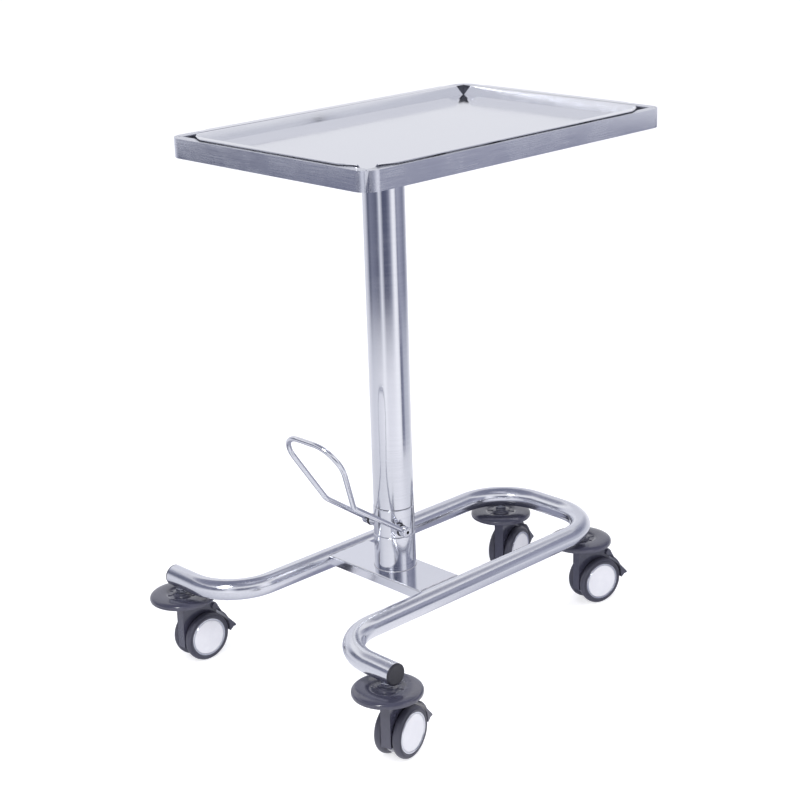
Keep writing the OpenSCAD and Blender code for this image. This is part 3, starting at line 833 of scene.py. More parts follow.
    def round_folds(self, bm: bmesh.types.BMesh, top: float) -> None:
        """Rounds the folds between the frame's band and its flanges.

        Args:
            bm: The frame's bmesh, in millimetres.
            top: Height of the frame.
        """
        bmesh.ops.recalc_face_normals(bm, faces=bm.faces)
        folds = [e for e in bm.edges
                 if len(e.link_faces) == 2 and e.calc_face_angle(0.0) > math.radians(60)]
        soften(bm, folds, self.frame_fold, 4)


# ---------------------------------------------------------------- the column


@dataclass
class Column:
    """The telescoping column and its collar. Sizes in millimetres.

    Attributes:
        tube_wall: Wall of the sliding outer column.
        inner_wall: Wall of the fixed inner column.
        lower_wall: Wall of the lower column.
        break_edge: Size of the broken edges on turned ends.
        boss: Radius of the collar's bosses.
        weld: Radius of the weld bead at the foot.
        ripples: Number of ripples round that bead.
    """

    tube_wall: float = 1.5
    inner_wall: float = 1.5
    lower_wall: float = 2.0
    break_edge: float = 1.0
    boss: float = 8.0
    weld: float = 1.0
    ripples: int = 70

    def build(self) -> None:
        """Makes the tubes, the collar and the weld, and dresses what is inside."""
        self.tube("sliding_column", "outer_column", "head", self.tube_wall)
        self.tube("fixed_inner_column", "inner_column", "base", self.inner_wall)
        self.tube("column_foot_tube", "lower_column", "base", self.lower_wall)
        self.make_collar()
        low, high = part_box("lower_column")
        bead = weld_ring((high.x - low.x) / 2 / MM, self.weld, foot_of("lower_column"),
                         self.ripples)
        Piece("column_foot_weld", "base", "plain_steel", Finish.WELD).place(bead, sharp=80)
        for node, finish in (("lower_bush", Finish.NYLON), ("upper_bush", Finish.NYLON),
                             ("thrust_bearing", Finish.BRASS), ("lift_rod", Finish.MACHINED),
                             ("lift_cylinder", Finish.PAINT), ("pump_block", Finish.PAINT),
                             ("pump_plunger", Finish.MACHINED), ("pump_cam", Finish.MACHINED)):
            dress(node, finish)

    def tube(self, name: str, node: str, body: str, wall: float) -> None:
        """Turns one plain tube of the column with broken edges.

        Args:
            name: The piece's name.
            node: The CAD node that it stands for.
            body: The CAD body that it rides on.
            wall: Its wall.
        """
        low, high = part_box(node)
        size = (high - low) / MM
        r, z, e = size.x / 2, size.z, self.break_edge
        profile = [(r - wall, e), (r - wall + e * 0.6, 0), (r - e, 0), (r - e * 0.3, e * 0.3),
                   (r, e), (r, z / 2), (r, z - e), (r - e * 0.3, z - e * 0.3), (r - e, z),
                   (r - wall, z)]
        Piece(name, body, "polished_tube", Finish.TURNED_TUBE,
              (node,)).place(turned(profile, foot_of(node), True, 128), sharp=60)

    def make_collar(self) -> None:
        """Turns the collar with its two pivot bosses."""
        low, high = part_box("pedal_collar")
        size = (high - low) / MM
        pin = middle("pedal_pin")
        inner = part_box("inner_column")
        bore = (inner[1].x - inner[0].x) / 2 / MM
        r, z, e = size.x / 2, size.z, 1.2
        profile = [(bore, 0), (r - e, 0), (r - e * 0.3, e * 0.3), (r, e), (r, z - e),
                   (r - e * 0.3, z - e * 0.3), (r - e, z), (bore, z)]
        bm = turned(profile, foot_of("pedal_collar"), True, 128)
        face_y = size.y / 2
        for sign in (-1, 1):
            boss = [(0, face_y - 14), (self.boss, face_y - 14), (self.boss, face_y - 1),
                    (self.boss - 0.8, face_y - 0.05), (0, face_y - 0.05)]
            merge(bm, turned(boss, aimed(pin, SIDE * sign), False, 48))
        Piece("pivot_collar", "base", "polished_tube", Finish.TURNED_TUBE,
              ("pedal_collar",)).place(bm, sharp=50)


# ---------------------------------------------------------------- the foot pedal


@dataclass
class FootPedal:
    """The pedal's loop, hubs, bushes and pin. Sizes in millimetres.

    Attributes:
        rod: Diameter of the loop's rod.
        pivot_y: Half the width of the loop at the pivot.
        bend_y: Half the width at the bends half way up.
        top_y: Half the width at the top.
        bend_out: Distance of the bends in front of the column's axis.
        bend_up: Height of the bends.
        bend_r: Radius of those bends.
        corner_r: Radius of the top corners.
        socket: Width of the socket in each screw.
        socket_depth: Depth of that socket.
        screw_r: Radius of each screw's head.
        screw_depth: Depth of the head's side.
        hub_bore: Radius of the hubs' bore.
        hub_gap: Gap between each hub and its bush.
    """

    rod: float = 8.0
    pivot_y: float = 39.0
    bend_y: float = 30.0
    top_y: float = 68.0
    bend_out: float = 108.0
    bend_up: float = 285.0
    bend_r: float = 18.0
    corner_r: float = 38.0
    socket: float = 6.0
    socket_depth: float = 2.2
    screw_r: float = 5.2
    screw_depth: float = 3.0
    hub_bore: float = 3.9
    hub_gap: float = 0.3

    def build(self) -> None:
        """Makes the loop and the hubs, and dresses the pin and bushes."""
        axis = middle("outer_column")
        pin = middle("pedal_pin")
        low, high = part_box("pedal_loop")
        r = self.rod / 2 * MM
        top = Vector((low.x + r, 0, high.z - r))
        bend = Vector((axis.x - self.bend_out * MM, 0, self.bend_up * MM))
        right = [pin + Vector((0, -self.pivot_y * MM, 0)), bend + Vector((0, -self.bend_y * MM, 0)),
                 top + Vector((0, -self.top_y * MM, 0))]
        left = [Vector((p.x, -p.y, p.z)) for p in reversed(right)]
        bends = [b * MM for b in (self.bend_r, self.corner_r, self.corner_r, self.bend_r)]
        tube = BentTube.along(right + left, bends, r, 28, 5)
        bmesh.ops.holes_fill(tube.bm, edges=tube.bm.edges, sides=0)
        Piece("pedal_rod_loop", "pedal", "polished_tube", Finish.BELT_TUBE,
              ("pedal_loop",)).place(tube.bm, sharp=60)
        self.make_hubs(pin)
        dress("pedal_pin", Finish.MACHINED)
        bushes = refined("pedal_bushes")
        Piece("pivot_bushes", "base", "black_plastic", Finish.BLACK_PE,
              ("pedal_bushes",)).place(bushes, bevel=0.4 * MM)

    def make_hubs(self, pin: Vector) -> None:
        """Turns both hubs, each with a socket screw in its face, its socket painted dark as shade.

        Args:
            pin: The middle of the pivot pin.
        """
        low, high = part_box("pedal_hubs")
        r = (high.x - low.x) / 2 / MM
        outer = (high.y - low.y) / 2 / MM
        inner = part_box("pedal_bushes")[1].y / MM + self.hub_gap
        bm = bmesh.new()
        for sign in (-1, 1):
            at = aimed(pin, SIDE * sign)
            hub = turned([(self.hub_bore, inner), (r - 0.5, inner), (r, inner + 0.5),
                          (r, outer - 1.0), (r - 0.3, outer - 0.3), (r - 1.0, outer),
                          (5.8, outer), (5.4, outer - 0.6), (self.hub_bore, outer - 0.6)],
                         at, True, 64)
            merge(bm, hub)
            merge(bm, self.socket_screw(at, outer - 0.2), 1)
        # Painted shade: the faces inside each socket take the near-black finish, which darkens the
        # socket's hollow
        for face in bm.faces:
            if face.material_index == 1 and self.in_socket(face, pin):
                face.material_index = 2
        Piece("pedal_clamp_hubs", "pedal", "plain_steel", Finish.PLATED,
              ("pedal_hubs",)).place(bm, sharp=40, more=(Finish.PLATED, Finish.BLACK_OXIDE))

    def in_socket(self, face: bmesh.types.BMFace, pin: Vector) -> bool:
        """Tells whether a face of a screw lies inside its socket.

        Args:
            face: The face.
            pin: The middle of the pivot pin.

        Returns:
            True for a face of the socket.
        """
        centre = face.calc_center_median() - pin
        return Vector((centre.x, centre.z)).length < self.socket / 2 * 0.95 * MM

    def socket_screw(self, at: Matrix, face: float) -> bmesh.types.BMesh:
        """Makes a screw head with a six-sided socket.

        Args:
            at: The hub's axis.
            face: Distance of the screw's face along it.

        Returns:
            The screw's bmesh.
        """
        bm = bmesh.new()
        at_face = Matrix.Translation((0, 0, face))
        bmesh.ops.create_circle(bm, cap_ends=False, radius=self.screw_r, segments=48,
                                matrix=at_face)
        rim_edges = list(bm.edges)
        bmesh.ops.create_circle(bm, cap_ends=False, radius=self.socket / 2, segments=6,
                                matrix=at_face)
        hex_edges = [e for e in bm.edges if e not in rim_edges]
        bmesh.ops.bridge_loops(bm, edges=rim_edges + hex_edges)
        for edges, depth in ((hex_edges, self.socket_depth), (rim_edges, self.screw_depth)):
            out = bmesh.ops.extrude_edge_only(bm, edges=edges)
            moved, ends = loop_edges(out["geom"])
            bmesh.ops.translate(bm, verts=moved, vec=(0, 0, -depth))
            bmesh.ops.edgeloop_fill(bm, edges=ends)
        to_metres(bm, at)
        return bm


# ---------------------------------------------------------------- the base


@dataclass
class Base:
    """The bent-tube base, its plate, plugs and welds. Sizes in millimetres.

    Attributes:
        tube_d: Diameter of the tube.
        tube_wall: Wall of the tube.
        arm_y: Distance from the middle to each arm.
        foot_bend: Radius of the bends to the feet.
        rear_bend: Radius of the rear bends.
        plate: Thickness of the base plate.
        plate_fold: Radius of the plate's folds.
        plug_head: Thickness of the plugs' heads.
        weld: Radius of the weld beads.
    """

    tube_d: float = 32.0
    tube_wall: float = 1.5
    arm_y: float = 112.0
    foot_bend: float = 80.0
    rear_bend: float = 85.0
    plate: float = 3.0
    plate_fold: float = 2.6
    plug_head: float = 3.0
    weld: float = 1.7

    def build(self) -> None:
        """Makes the tube, the plate, the plugs and the welds."""
        low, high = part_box("base_tube")
        r = self.tube_d / 2 * MM
        z = (low.z + high.z) / 2
        foot_x, rear_x = low.x + r, high.x - r
        arm, end = self.arm_y * MM, high.y
        half = [Vector((foot_x, end, z)), Vector((foot_x, arm, z)), Vector((rear_x, arm, z))]
        route = half + [Vector((p.x, -p.y, p.z)) for p in reversed(half)]
        bends = [b * MM for b in (self.foot_bend, self.rear_bend, self.rear_bend, self.foot_bend)]
        tube = BentTube.along(route, bends, r, 64, 3)
        Piece("base_bent_tube", "base", "polished_tube", Finish.BELT_TUBE,
              ("base_tube",)).place(tube.bm, sharp=60, wall=self.tube_wall * MM)
        self.make_plate()
        self.make_plugs(foot_x, z)

    def make_plate(self) -> None:
        """Folds the base plate and welds it between the arms."""
        low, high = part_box("base_plate")
        size = (high - low) / MM
        r = self.tube_d / 2
        skirt = size.z - self.plate
        bm = bmesh.new()
        bmesh.ops.create_grid(bm, x_segments=1, y_segments=1, size=0.5)
        bmesh.ops.scale(bm, vec=(size.x, size.y, 1.0), verts=bm.verts)
        flange_half = self.arm_y - r
        for sign in (-1, 1):
            edges = [e for e in bm.edges
                     if all(abs(v.co.x - sign * size.x / 2) < 1e-4 and abs(v.co.z) < 1e-4
                            for v in e.verts)]
            out = bmesh.ops.extrude_edge_only(bm, edges=edges)
            verts, _ = loop_edges(out["geom"])
            bmesh.ops.translate(bm, verts=verts, vec=(0, 0, -skirt - self.plate))
            for vert in verts:
                vert.co.y = math.copysign(flange_half, vert.co.y)
        bmesh.ops.recalc_face_normals(bm, faces=bm.faces)
        folds = [e for e in bm.edges if len(e.link_faces) == 2]
        soften(bm, folds, self.plate_fold, 5)
        to_metres(bm, Matrix.Translation((0, 0, high.z - low.z)) @ foot_of("base_plate"))
        bmesh.ops.recalc_face_normals(bm, faces=bm.faces)
        upper = max(bm.faces, key=lambda f: f.calc_area())
        side = -1.0 if upper.normal.z > 0 else 1.0
        Piece("folded_base_plate", "base", "polished_sheet", Finish.MIRROR_SHEET,
              ("base_plate",)).place(bm, sharp=50, wall=self.plate * MM, wall_side=side,
                                     bevel=0.3 * MM)
        beads = bmesh.new()
        for sign in (-1, 1):
            y = sign * size.y / 2 * MM
            start = Vector((low.x + 2 * MM, y, high.z - 1.2 * MM))
            end = Vector((high.x - 2 * MM, y, high.z - 1.2 * MM))
            merge(beads, weld_line(start, end, self.weld * MM))
        Piece("plate_welds", "base", "plain_steel", Finish.WELD).place(beads, sharp=80)

    def make_plugs(self, foot_x: float, z: float) -> None:
        """Moulds the two plugs that close the feet.

        Args:
            foot_x: Where the feet's centre line is.
            z: Height of the tube's centre.
        """
        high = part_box("end_caps")[1]
        r = self.tube_d / 2
        inside = r - self.tube_wall
        head = self.plug_head
        profile = [(0, head - 0.7), (r - 5, head - 0.7), (r - 4, head - 0.1), (r - 2.2, head),
                   (r - 0.9, head - 0.3), (r - 0.2, head - 1.0), (r, head - 1.8), (r, 0),
                   (inside, 0), (inside, -8), (inside - 2, -8), (inside - 2, -0.5), (0, -0.5)]
        bm = bmesh.new()
        for sign in (-1, 1):
            face = Vector((foot_x, sign * (high.y - head * MM), z))
            merge(bm, turned(profile, aimed(face, SIDE * sign), False, 64))
        Piece("foot_plugs", "base", "black_plastic", Finish.BLACK_PE,
              ("end_caps",)).place(bm, sharp=50)


# ---------------------------------------------------------------- the casters


@dataclass
class Caster:
    """One twin-wheel caster with its bumper disc. Sizes in millimetres.

    Attributes:
        key: Prefix of the caster's CAD nodes and bodies.
        stem_d: Diameter of the threaded stem.
        pitch: Pitch of its thread, the coarse one of M12.
        ribs: Number of ribs in the bumper's recess.
        web: Width of the fork's web.
        gap: Gap between the web and each wheel.
        wheel_w: Width of each wheel.
        axle_bore: Radius of the wheel's hole for the axle.
        cap_rim: Distance from the tread in to the edge of the cap's recess.
        cap_depth: Depth of that recess.
        rib: Length, width and height of a rib.
        rib_r: Distance of a rib's middle from the swivel's axis.
        rib_drop: How far a rib's middle lies under the hub's top.
    """

    key: str
    stem_d: float = 12.0
    pitch: float = 1.75
    ribs: int = 8
    web: float = 16.0
    gap: float = 0.3
    wheel_w: float = 13.5
    axle_bore: float = 4.2
    cap_rim: float = 7.4
    cap_depth: float = 3.0
    rib: tuple[float, float, float] = (8.0, 1.0, 1.4)
    rib_r: float = 18.8
    rib_drop: float = 3.4

    def build(self) -> None:
        """Makes every piece of the caster."""
        self.stem_at = middle(f"{self.key}_stem")
        self.axle_at = middle(f"{self.key}_axle")
        out = self.axle_at - self.stem_at
        self.turn = math.atan2(out.y, out.x)
        self.make_stem()
        self.make_bumper()
        self.make_fork()
        self.make_brake()
        for place, sign in (("in", 1), ("out", -1)):
            self.make_wheel(place, sign)
        dress(f"{self.key}_axle", Finish.MACHINED)

    def at_swivel(self, z: float = 0.0) -> Matrix:
        """Gives the matrix of the swivel's axis, turned with the fork.

        Args:
            z: Height on the axis, in millimetres.

        Returns:
            The matrix.
        """
        place = Vector((self.stem_at.x, self.stem_at.y, z * MM))
        return Matrix.Translation(place) @ Matrix.Rotation(self.turn, 4, "Z")

    def make_stem(self) -> None:
        """Cuts the stem's thread and its lock nut."""
        low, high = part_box(f"{self.key}_stem")
        z0, z1 = low.z / MM, high.z / MM
        r = self.stem_d / 2
        tube_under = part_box("base_tube")[0].z / MM
        nut_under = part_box(f"{self.key}_bumper")[1].z / MM + self.gap
        count = int((z1 - z0) / self.pitch)
        profile = [(0.0, z0)]
        for i in range(count):
            z = z0 + i * self.pitch
            profile += [(r - 0.9, z + 0.1), (r, z + self.pitch * 0.5),
                        (r, z + self.pitch * 0.62)]
        profile += [(r - 0.9, z1 - 0.05), (0.0, z1)]
        bm = turned(profile, self.at_swivel(), False, 40)
        nut = bmesh.new()
        height = tube_under - nut_under
        bmesh.ops.create_cone(nut, cap_ends=True, segments=6, radius1=self.stem_d * 0.8,
                              radius2=self.stem_d * 0.8, depth=height)
        rims = [e for e in nut.edges if abs(e.verts[0].co.z - e.verts[1].co.z) < 1e-6]
        soften(nut, rims, 0.7, 2)
        to_metres(nut, self.at_swivel(nut_under + height / 2))
        merge(bm, nut)
        Piece(f"{self.key}_threaded_stem", "base", "plain_steel", Finish.PLATED,
              (f"{self.key}_stem",)).place(bm, sharp=30)

    def make_bumper(self) -> None:
        """Moulds the bumper disc: domed top, recess, hub and ribs."""
        low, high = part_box(f"{self.key}_bumper")
        r = (high.x - low.x) / 2 / MM
        z = low.z / MM
        top = high.z / MM - z
        profile = [(8.0, top), (12.6, top), (14.2, top - 0.7), (14.8, top - 2.6),
                   (15.6, top - 3.4), (21.5, top - 3.6), (23.0, top - 2.9), (24.5, top - 1.6),
                   (27.0, top - 1.2), (34.0, top - 1.1), (41.0, top - 1.5), (45.0, top - 2.2),
                   (r - 2.6, top - 3.0), (r - 1.2, top - 4.0), (r - 0.35, top - 5.2),
                   (r, top - 6.6), (r, 1.6), (r - 0.4, 0.5), (r - 1.5, 0.0), (r - 5.0, 0.0),
                   (r - 6.5, 1.4), (22.0, 1.4), (20.0, 0.0), (8.0, 0.0)]
        bm = turned(profile, self.at_swivel(z), True, 112)
        for i in range(self.ribs):
            merge(bm, self.dish_rib(math.tau * (i + 0.5) / self.ribs, z + top))
        Piece(f"{self.key}_bumper_disc", f"{self.key}_caster", "grey_plastic",
              Finish.GREY_NYLON, (f"{self.key}_bumper",)).place(bm, sharp=40)

    def dish_rib(self, angle: float, top: float) -> bmesh.types.BMesh:
        """Makes one rib that crosses the recess round the hub.

        Args:
            angle: Where the rib stands, in radians.
            top: Height of the hub's top.

        Returns:
            The rib's bmesh.
        """
        bm = bmesh.new()
        bmesh.ops.create_cube(bm, size=1.0)
        mid = top - self.rib_drop
        bmesh.ops.transform(bm, matrix=Matrix.Translation((self.rib_r, 0, mid))
                            @ Matrix.Diagonal((*self.rib, 1.0)), verts=bm.verts)
        for vert in bm.verts:
            if vert.co.z > mid:
                vert.co.y *= 0.6
        soften(bm, list(bm.edges), 0.25, 2)
        to_metres(bm, self.at_swivel() @ Matrix.Rotation(angle, 4, "Z"))
        return bm

    def make_fork(self) -> None:
        """Softens the fork's moulded edges."""
        bm = refined(f"{self.key}_fork")
        Piece(f"{self.key}_fork_web", f"{self.key}_caster", "grey_plastic", Finish.GREY_NYLON,
              (f"{self.key}_fork",)).place(bm, sharp=35, bevel=0.9 * MM, segments=3)

    def make_brake(self) -> None:
        """Softens the brake lever's moulded edges."""
        bm = refined(f"{self.key}_brake")
        Piece(f"{self.key}_brake_pedal", f"{self.key}_brake_lever", "grey_plastic",
              Finish.GREY_NYLON, (f"{self.key}_brake",)).place(bm, sharp=35, bevel=0.4 * MM)

    def make_wheel(self, place: str, sign: int) -> None:
        """Moulds one wheel, its cap and the cap's ring.

        Args:
            place: The wheel's name, "in" or "out".
            sign: Side of the web that it runs on.
        """
        low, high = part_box(f"{self.key}_wheel_{place}")
        r = (high.z - low.z) / 2 / MM
        axle = Vector((self.axle_at.x, self.axle_at.y, (low.z + high.z) / 2))
        side = Matrix.Rotation(self.turn, 4, "Z") @ (SIDE * sign)
        at = aimed(axle, side)
        near = self.web / 2 + self.gap
        far = near + self.wheel_w
        seat, floor = r - self.cap_rim, far - self.cap_depth
        tyre = [(self.axle_bore, near + 0.8), (r - 12, near + 0.8), (r - 10, near), (r - 5.5, near),
                (r - 3.4, near + 0.5), (r - 1.7, near + 1.6), (r - 0.6, near + 3.2),
                (r, near + 5.6), (r, far - 5.6), (r - 0.6, far - 3.2), (r - 1.7, far - 1.6),
                (r - 3.4, far - 0.5), (r - 3.7, far - 1.1), (r - 4.2, far - 1.1),
                (r - 4.5, far - 0.1), (r - 5.2, far), (seat + 0.7, far), (seat, far - 0.6),
                (seat, floor), (self.axle_bore, floor)]
        body = f"{self.key}_wheel_" + ("inner" if place == "in" else "outer")
        Piece(f"{self.key}_tyre_{place}", body, "wheel_tyre", Finish.TREAD,
              (f"{self.key}_wheel_{place}",)).place(turned(tyre, at, True, 96), sharp=40)
        ring = [(seat - 0.4, floor), (seat - 0.4, far - 0.9), (seat - 0.9, far - 0.35),
                (seat - 1.5, far - 0.3), (seat - 1.9, far - 1.1), (seat - 2.4, far - 1.1),
                (seat - 2.8, far - 0.5), (seat - 3.3, far - 0.5), (seat - 3.6, far - 1.2),
                (seat - 3.6, floor)]
        Piece(f"{self.key}_cap_ring_{place}", body, "white_cap",
              Finish.PLATED).place(turned(ring, at, True, 96), sharp=40)
        disc = [(0, floor), (seat - 3.7, floor), (seat - 3.7, far - 1.3), (seat - 4.1, far - 0.8),
                (seat - 5.0, far - 0.6), (seat - 12.0, far - 0.2), (0, far)]
        Piece(f"{self.key}_cap_disc_{place}", body, "white_cap", Finish.WHITE_ABS,
              (f"{self.key}_cap_{place}",)).place(turned(disc, at, False, 96), sharp=40)


# ---------------------------------------------------------------- the studio


def outward(azimuth: float, elevation: float) -> Vector:
    """Gives the direction from the cart to a camera or a lamp.

    Args:
        azimuth: Its direction round the cart, in degrees.
        elevation: Its height above the horizon, in degrees.

    Returns:
        The unit vector.
    """
    a, e = math.radians(azimuth), math.radians(elevation)
    return Vector((math.sin(a) * math.cos(e), -math.cos(a) * math.cos(e), math.sin(e)))


@dataclass
class Studio:
    """The pale floor, the soft light and the camera. Sizes in metres.

    Attributes:
        floor_size: Half the floor's width.
        floor_glow: Brightness of the lit floor by itself.
        tent_radius: Radius of the tent of cloth and flags.
        tent_height: Height of the tent.
        tent_glow: Brightness of the tent's white cloth.
        tent_rise: Heights between which the tent's foot turns to its upper part.
        floor_rise: Distances from the column between which the near floor turns to the far one.
        world_glow: Brightness of what surrounds the cart.
        lamp_aim: Height that the lamps point at.
        aim: The camera's aim, with its X measured from the column's axis.
        flags_high: Colours of the tent's upper part by direction from the camera's side.
        flags_low: Colours of its foot.
        painted_shadow_under_cart: Colours of the floor under the cart, as metal sees it, greyer
            behind and beside the cart as a painted shadow of the cart on the floor.
        flags_floor: Colours of the floor further out.
        azimuth: The camera's direction, in degrees.
        elevation: The camera's height above the horizon, in degrees.
        roll: The camera's lean, in degrees.
        distance: The camera's distance from its aim.
        lens: The lens for a sensor of 36 mm.
    """

    floor_size: float = 60.0
    floor_glow: float = 0.62
    tent_radius: float = 0.95
    tent_height: float = 0.71
    tent_glow: float = 1.25
    tent_rise: tuple[float, float] = (0.10, 0.36)
    floor_rise: tuple[float, float] = (0.42, 0.72)
    world_glow: float = 1.12
    lamp_aim: float = 0.4
    aim: tuple[float, float, float] = (-0.015, -0.0366, 0.4285)
    azimuth: float = -43.78
    elevation: float = 18.70
    roll: float = -1.77
    distance: float = 2.5838
    lens: float = 79.85
    flags_high: tuple[tuple[float, str], ...] = (
        (-180, "#d6d7df"), (-130, "#d4d5dd"), (-112, "#b4b6c2"), (-98, "#565a6c"),
        (-80, "#787b8d"), (-58, "#6c6f82"), (-42, "#606375"), (-34, "#8f92a2"),
        (-25, "#e0e1e8"), (-18, "#c0c2cc"), (-8, "#50546a"), (12, "#585c70"), (26, "#7d8092"),
        (36, "#c4c5d0"), (44, "#f2f2f6"), (58, "#eeeef4"), (66, "#85889a"), (76, "#9c9eae"),
        (96, "#8c8ea0"), (116, "#7c7f92"), (136, "#a6a8b5"), (150, "#d0d1d9"))
    flags_low: tuple[tuple[float, str], ...] = (
        (-180, "#ececf0"), (-100, "#d4d5dd"), (-70, "#d8d9e0"), (-40, "#e4e4ea"),
        (-25, "#f4f4f8"), (-8, "#e4e4ea"), (20, "#e8e8ee"), (50, "#f6f6fa"), (62, "#e6e6ec"),
        (67, "#6e7184"), (80, "#7a7d90"), (88, "#b4b6c2"), (120, "#c4c6d0"), (150, "#ececf0"))
    # Painted shadow: the floor card's near part is greyer behind and beside the cart, standing in
    # for the cart's shadow on the floor in reflections
    painted_shadow_under_cart: tuple[tuple[float, str], ...] = (
        (-180, "#84869a"), (-125, "#8f91a2"), (-95, "#b4b6c2"), (-60, "#d8d9e0"),
        (0, "#e6e6ec"), (60, "#e6e6ec"), (100, "#b8bac6"), (128, "#8f91a2"))
    flags_floor: tuple[tuple[float, str], ...] = (
        (-180, "#dcdde3"), (-100, "#d2d3da"), (-60, "#d4d5dc"), (-30, "#dcdde3"),
        (40, "#e6e6ec"), (100, "#d6d7de"), (150, "#dcdde3"))

    def build(self) -> None:
        """Sets up the floor, the lights, the world and the camera."""
        bpy.context.scene.view_settings.view_transform = "Standard"
        self.make_camera()
        self.make_floor()
        self.make_tent()
        self.make_world()
        self.make_lights()

    def make_camera(self) -> None:
        """Aims the camera at the cart from its pedal end."""
        axis = middle("outer_column")
        aim = Vector((axis.x + self.aim[0], self.aim[1], self.aim[2]))
        back = outward(self.azimuth, self.elevation)
        data = bpy.data.cameras.new("camera")
        data.lens = self.lens
        data.sensor_width = 36.0
        data.clip_end = 200.0
        camera = bpy.data.objects.new("camera", data)
        camera.rotation_mode = "QUATERNION"
        lean = Matrix.Rotation(math.radians(self.roll), 4, "Z").to_quaternion()
        camera.rotation_quaternion = (-back).to_track_quat("-Z", "Y") @ lean
        camera.location = aim + back * self.distance
        bpy.context.scene.collection.objects.link(camera)
        bpy.context.scene.camera = camera

    def sheet(self, name: str, half: float, height: float) -> bpy.types.Object:
        """Lays a flat square sheet round the cart, as part of the stage.

        Args:
            name: The sheet's name.
            half: Half its width.
            height: Its height above the floor.

        Returns:
            The object.
        """
        bm = bmesh.new()
        bmesh.ops.create_grid(bm, x_segments=4, y_segments=4, size=half,
                              matrix=Matrix.Translation((0, 0, height)))
        mesh = bpy.data.meshes.new(name)
        bm.to_mesh(mesh)
        bm.free()
        obj = bpy.data.objects.new(name, mesh)
        bpy.context.scene.collection.objects.link(obj)
        return obj

    def make_floor(self) -> None:
        """Lays the pale studio floor."""
        floor = self.sheet("studio_floor", self.floor_size, 0.0)
        mat = bpy.data.materials.new("matt_white_studio_floor")
        mat.use_nodes = True
        shader = mat.node_tree.nodes["Principled BSDF"]
        shader.inputs["Base Color"].default_value = linear("#cfcfd1")
        shader.inputs["Roughness"].default_value = 0.9
        shader.inputs["Emission Color"].default_value = linear("#ffffff")
        shader.inputs["Emission Strength"].default_value = self.floor_glow
        floor.data.materials.append(mat)

    def make_tent(self) -> None:
        """Stands a tent of white cloth and dark flags round the cart, and a floor card whose near
        part carries a painted shadow of the cart, seen in reflections alone.
        """
        bm = bmesh.new()
        bmesh.ops.create_circle(bm, cap_ends=False, radius=self.tent_radius, segments=128)
        out = bmesh.ops.extrude_edge_only(bm, edges=list(bm.edges))
        verts, _ = loop_edges(out["geom"])
        bmesh.ops.translate(bm, verts=verts, vec=(0, 0, self.tent_height))
        low, high = (math.hypot(self.tent_radius, z) for z in self.tent_rise)
        self.reflector("light_tent", bm, self.flags_low, self.flags_high, (low, high))
        bm = bmesh.new()
        bmesh.ops.create_circle(bm, cap_ends=True, radius=self.tent_radius + 0.01, segments=96)
        bmesh.ops.translate(bm, verts=bm.verts, vec=(0, 0, 0.0015))
        self.reflector("light_floor_card", bm, self.painted_shadow_under_cart, self.flags_floor,
                       self.floor_rise)

    def reflector(self, name: str, bm: bmesh.types.BMesh, low: Sequence[tuple[float, str]],
                  high: Sequence[tuple[float, str]], span: tuple[float, float]) -> None:
        """Stages a lit card that only reflections see.

        Args:
            name: The card's name.
            bm: Its shape, round the column's axis; it is freed here.
            low: Colour of the card's foot by direction from the camera's side.
            high: Colour of its upper or outer part.
            span: Distances from the foot of the column's axis where one turns to the other.
        """
        mesh = bpy.data.meshes.new(name)
        bm.to_mesh(mesh)
        bm.free()
        card = bpy.data.objects.new(name, mesh)
        bpy.context.scene.collection.objects.link(card)
        card.location.x = middle("outer_column").x
        card.visible_camera = card.visible_diffuse = card.visible_shadow = False
        mat = bpy.data.materials.new(f"{name}_cloth")
        mat.use_nodes = True
        tree = mat.node_tree
        tree.nodes.clear()
        coord = add_node(tree, "ShaderNodeTexCoord")
        reach = add_node(tree, "ShaderNodeVectorMath", {"operation": "LENGTH"})
        tree.links.new(coord.outputs["Object"], reach.inputs[0])
        spun = add_node(tree, "ShaderNodeVectorRotate", {"rotation_type": "Z_AXIS"}, {
            "Vector": coord.outputs["Object"], "Angle": math.radians(90 - self.azimuth)})
        flat = add_node(tree, "ShaderNodeSeparateXYZ", None, {"Vector": spun.outputs["Vector"]})
        turn = add_node(tree, "ShaderNodeMath", {"operation": "ARCTAN2"})
        tree.links.new(flat.outputs["Y"], turn.inputs[0])
        tree.links.new(flat.outputs["X"], turn.inputs[1])
        share = add_node(tree, "ShaderNodeMapRange", None, {
            "Value": turn.outputs["Value"], "From Min": -math.pi, "From Max": math.pi})
        rise = add_node(tree, "ShaderNodeMapRange", {"interpolation_type": "SMOOTHSTEP"}, {
            "Value": reach.outputs["Value"], "From Min": span[0], "From Max": span[1]})
        mixed = add_node(tree, "ShaderNodeMix", {"data_type": "RGBA"})
        tree.links.new(rise.outputs["Result"], mixed.inputs[0])
        for socket, stops in ((6, low), (7, high)):
            ramp = add_node(tree, "ShaderNodeValToRGB", None, {"Fac": share.outputs["Result"]})
            self.fill_ramp(ramp, stops)
            tree.links.new(ramp.outputs["Color"], mixed.inputs[socket])
        glow = add_node(tree, "ShaderNodeEmission", None, {
            "Color": mixed.outputs[2], "Strength": self.tent_glow})
        out = add_node(tree, "ShaderNodeOutputMaterial")
        tree.links.new(glow.outputs[0], out.inputs["Surface"])
        mesh.materials.append(mat)

    @staticmethod
    def fill_ramp(ramp: bpy.types.Node, stops: Sequence[tuple[float, str]]) -> None:
        """Sets a colour ramp's stops.

        Args:
            ramp: The ramp's node.
            stops: Angle in degrees and hex colour of each stop.
        """
        elements = ramp.color_ramp.elements
        while len(elements) > 1:
            elements.remove(elements[-1])
        for i, (angle, colour) in enumerate(stops):
            at = (angle + 180) / 360
            stop = elements[0] if i == 0 else elements.new(at)
            stop.position = at
            stop.color = linear(colour)

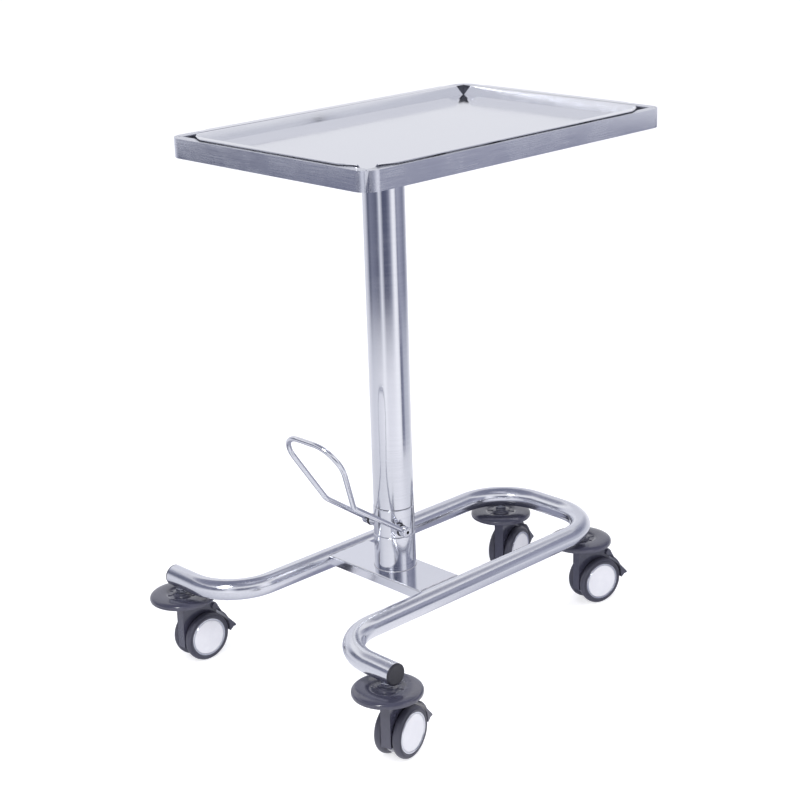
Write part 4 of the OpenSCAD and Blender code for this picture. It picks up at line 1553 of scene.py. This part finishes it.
    def make_world(self) -> None:
        """Paints what surrounds the cart: pale walls under a darker ceiling."""
        world = bpy.data.worlds.new("studio")
        bpy.context.scene.world = world
        world.use_nodes = True
        tree = world.node_tree
        tree.nodes.clear()
        coord = add_node(tree, "ShaderNodeTexCoord")
        parts = add_node(tree, "ShaderNodeSeparateXYZ", None, {
            "Vector": coord.outputs["Generated"]})
        height = add_node(tree, "ShaderNodeMath", {"operation": "ARCSINE"})
        tree.links.new(parts.outputs["Z"], height.inputs[0])
        fac = add_node(tree, "ShaderNodeMapRange", None, {
            "Value": height.outputs["Value"], "From Min": -math.pi, "From Max": math.pi})
        ramp = add_node(tree, "ShaderNodeValToRGB")
        tree.links.new(fac.outputs["Result"], ramp.inputs["Fac"])
        self.fill_ramp(ramp, ((-90, "#ffffff"), (0, "#ecedf1"), (14, "#dfe0e6"), (30, "#f6f6f9"),
                              (40, "#f6f6f9"), (50, "#8d8fa0"), (70, "#7c7f92"),
                              (90, "#7c7f92")))
        light = add_node(tree, "ShaderNodeBackground", None, {
            "Color": ramp.outputs["Color"], "Strength": self.world_glow})
        out = add_node(tree, "ShaderNodeOutputWorld")
        tree.links.new(light.outputs[0], out.inputs["Surface"])

    def make_lights(self) -> None:
        """Hangs two strip boxes near the camera and a large one overhead."""
        boxes = (
            ("left_strip_box", -74.0, 42.0, 2.6, 0.35, 1.2, 22.0),
            ("right_strip_box", -20.0, 46.0, 2.6, 0.30, 1.0, 16.0),
            ("overhead_box", -43.0, 84.0, 2.6, 1.8, 1.8, 30.0),
        )
        for name, azimuth, elevation, distance, width, height, power in boxes:
            data = bpy.data.lights.new(name, "AREA")
            data.shape = "RECTANGLE"
            data.size, data.size_y, data.energy = width, height, power
            back = outward(azimuth, elevation)
            lamp = bpy.data.objects.new(name, data)
            lamp.rotation_mode = "QUATERNION"
            lamp.rotation_quaternion = (-back).to_track_quat("-Z", "Y")
            lamp.location = Vector((0, 0, self.lamp_aim)) + back * distance
            lamp.visible_glossy = name == "left_strip_box"
            bpy.context.scene.collection.objects.link(lamp)


def main() -> None:
    """Builds the cart's sub-assemblies in order, then the studio."""
    logging.basicConfig(level=logging.INFO, format="%(message)s")
    TrayTop().build()
    Column().build()
    FootPedal().build()
    Base().build()
    for key in CASTERS:
        Caster(key).build()
    Studio().build()


if __name__ == "__main__":
    main()
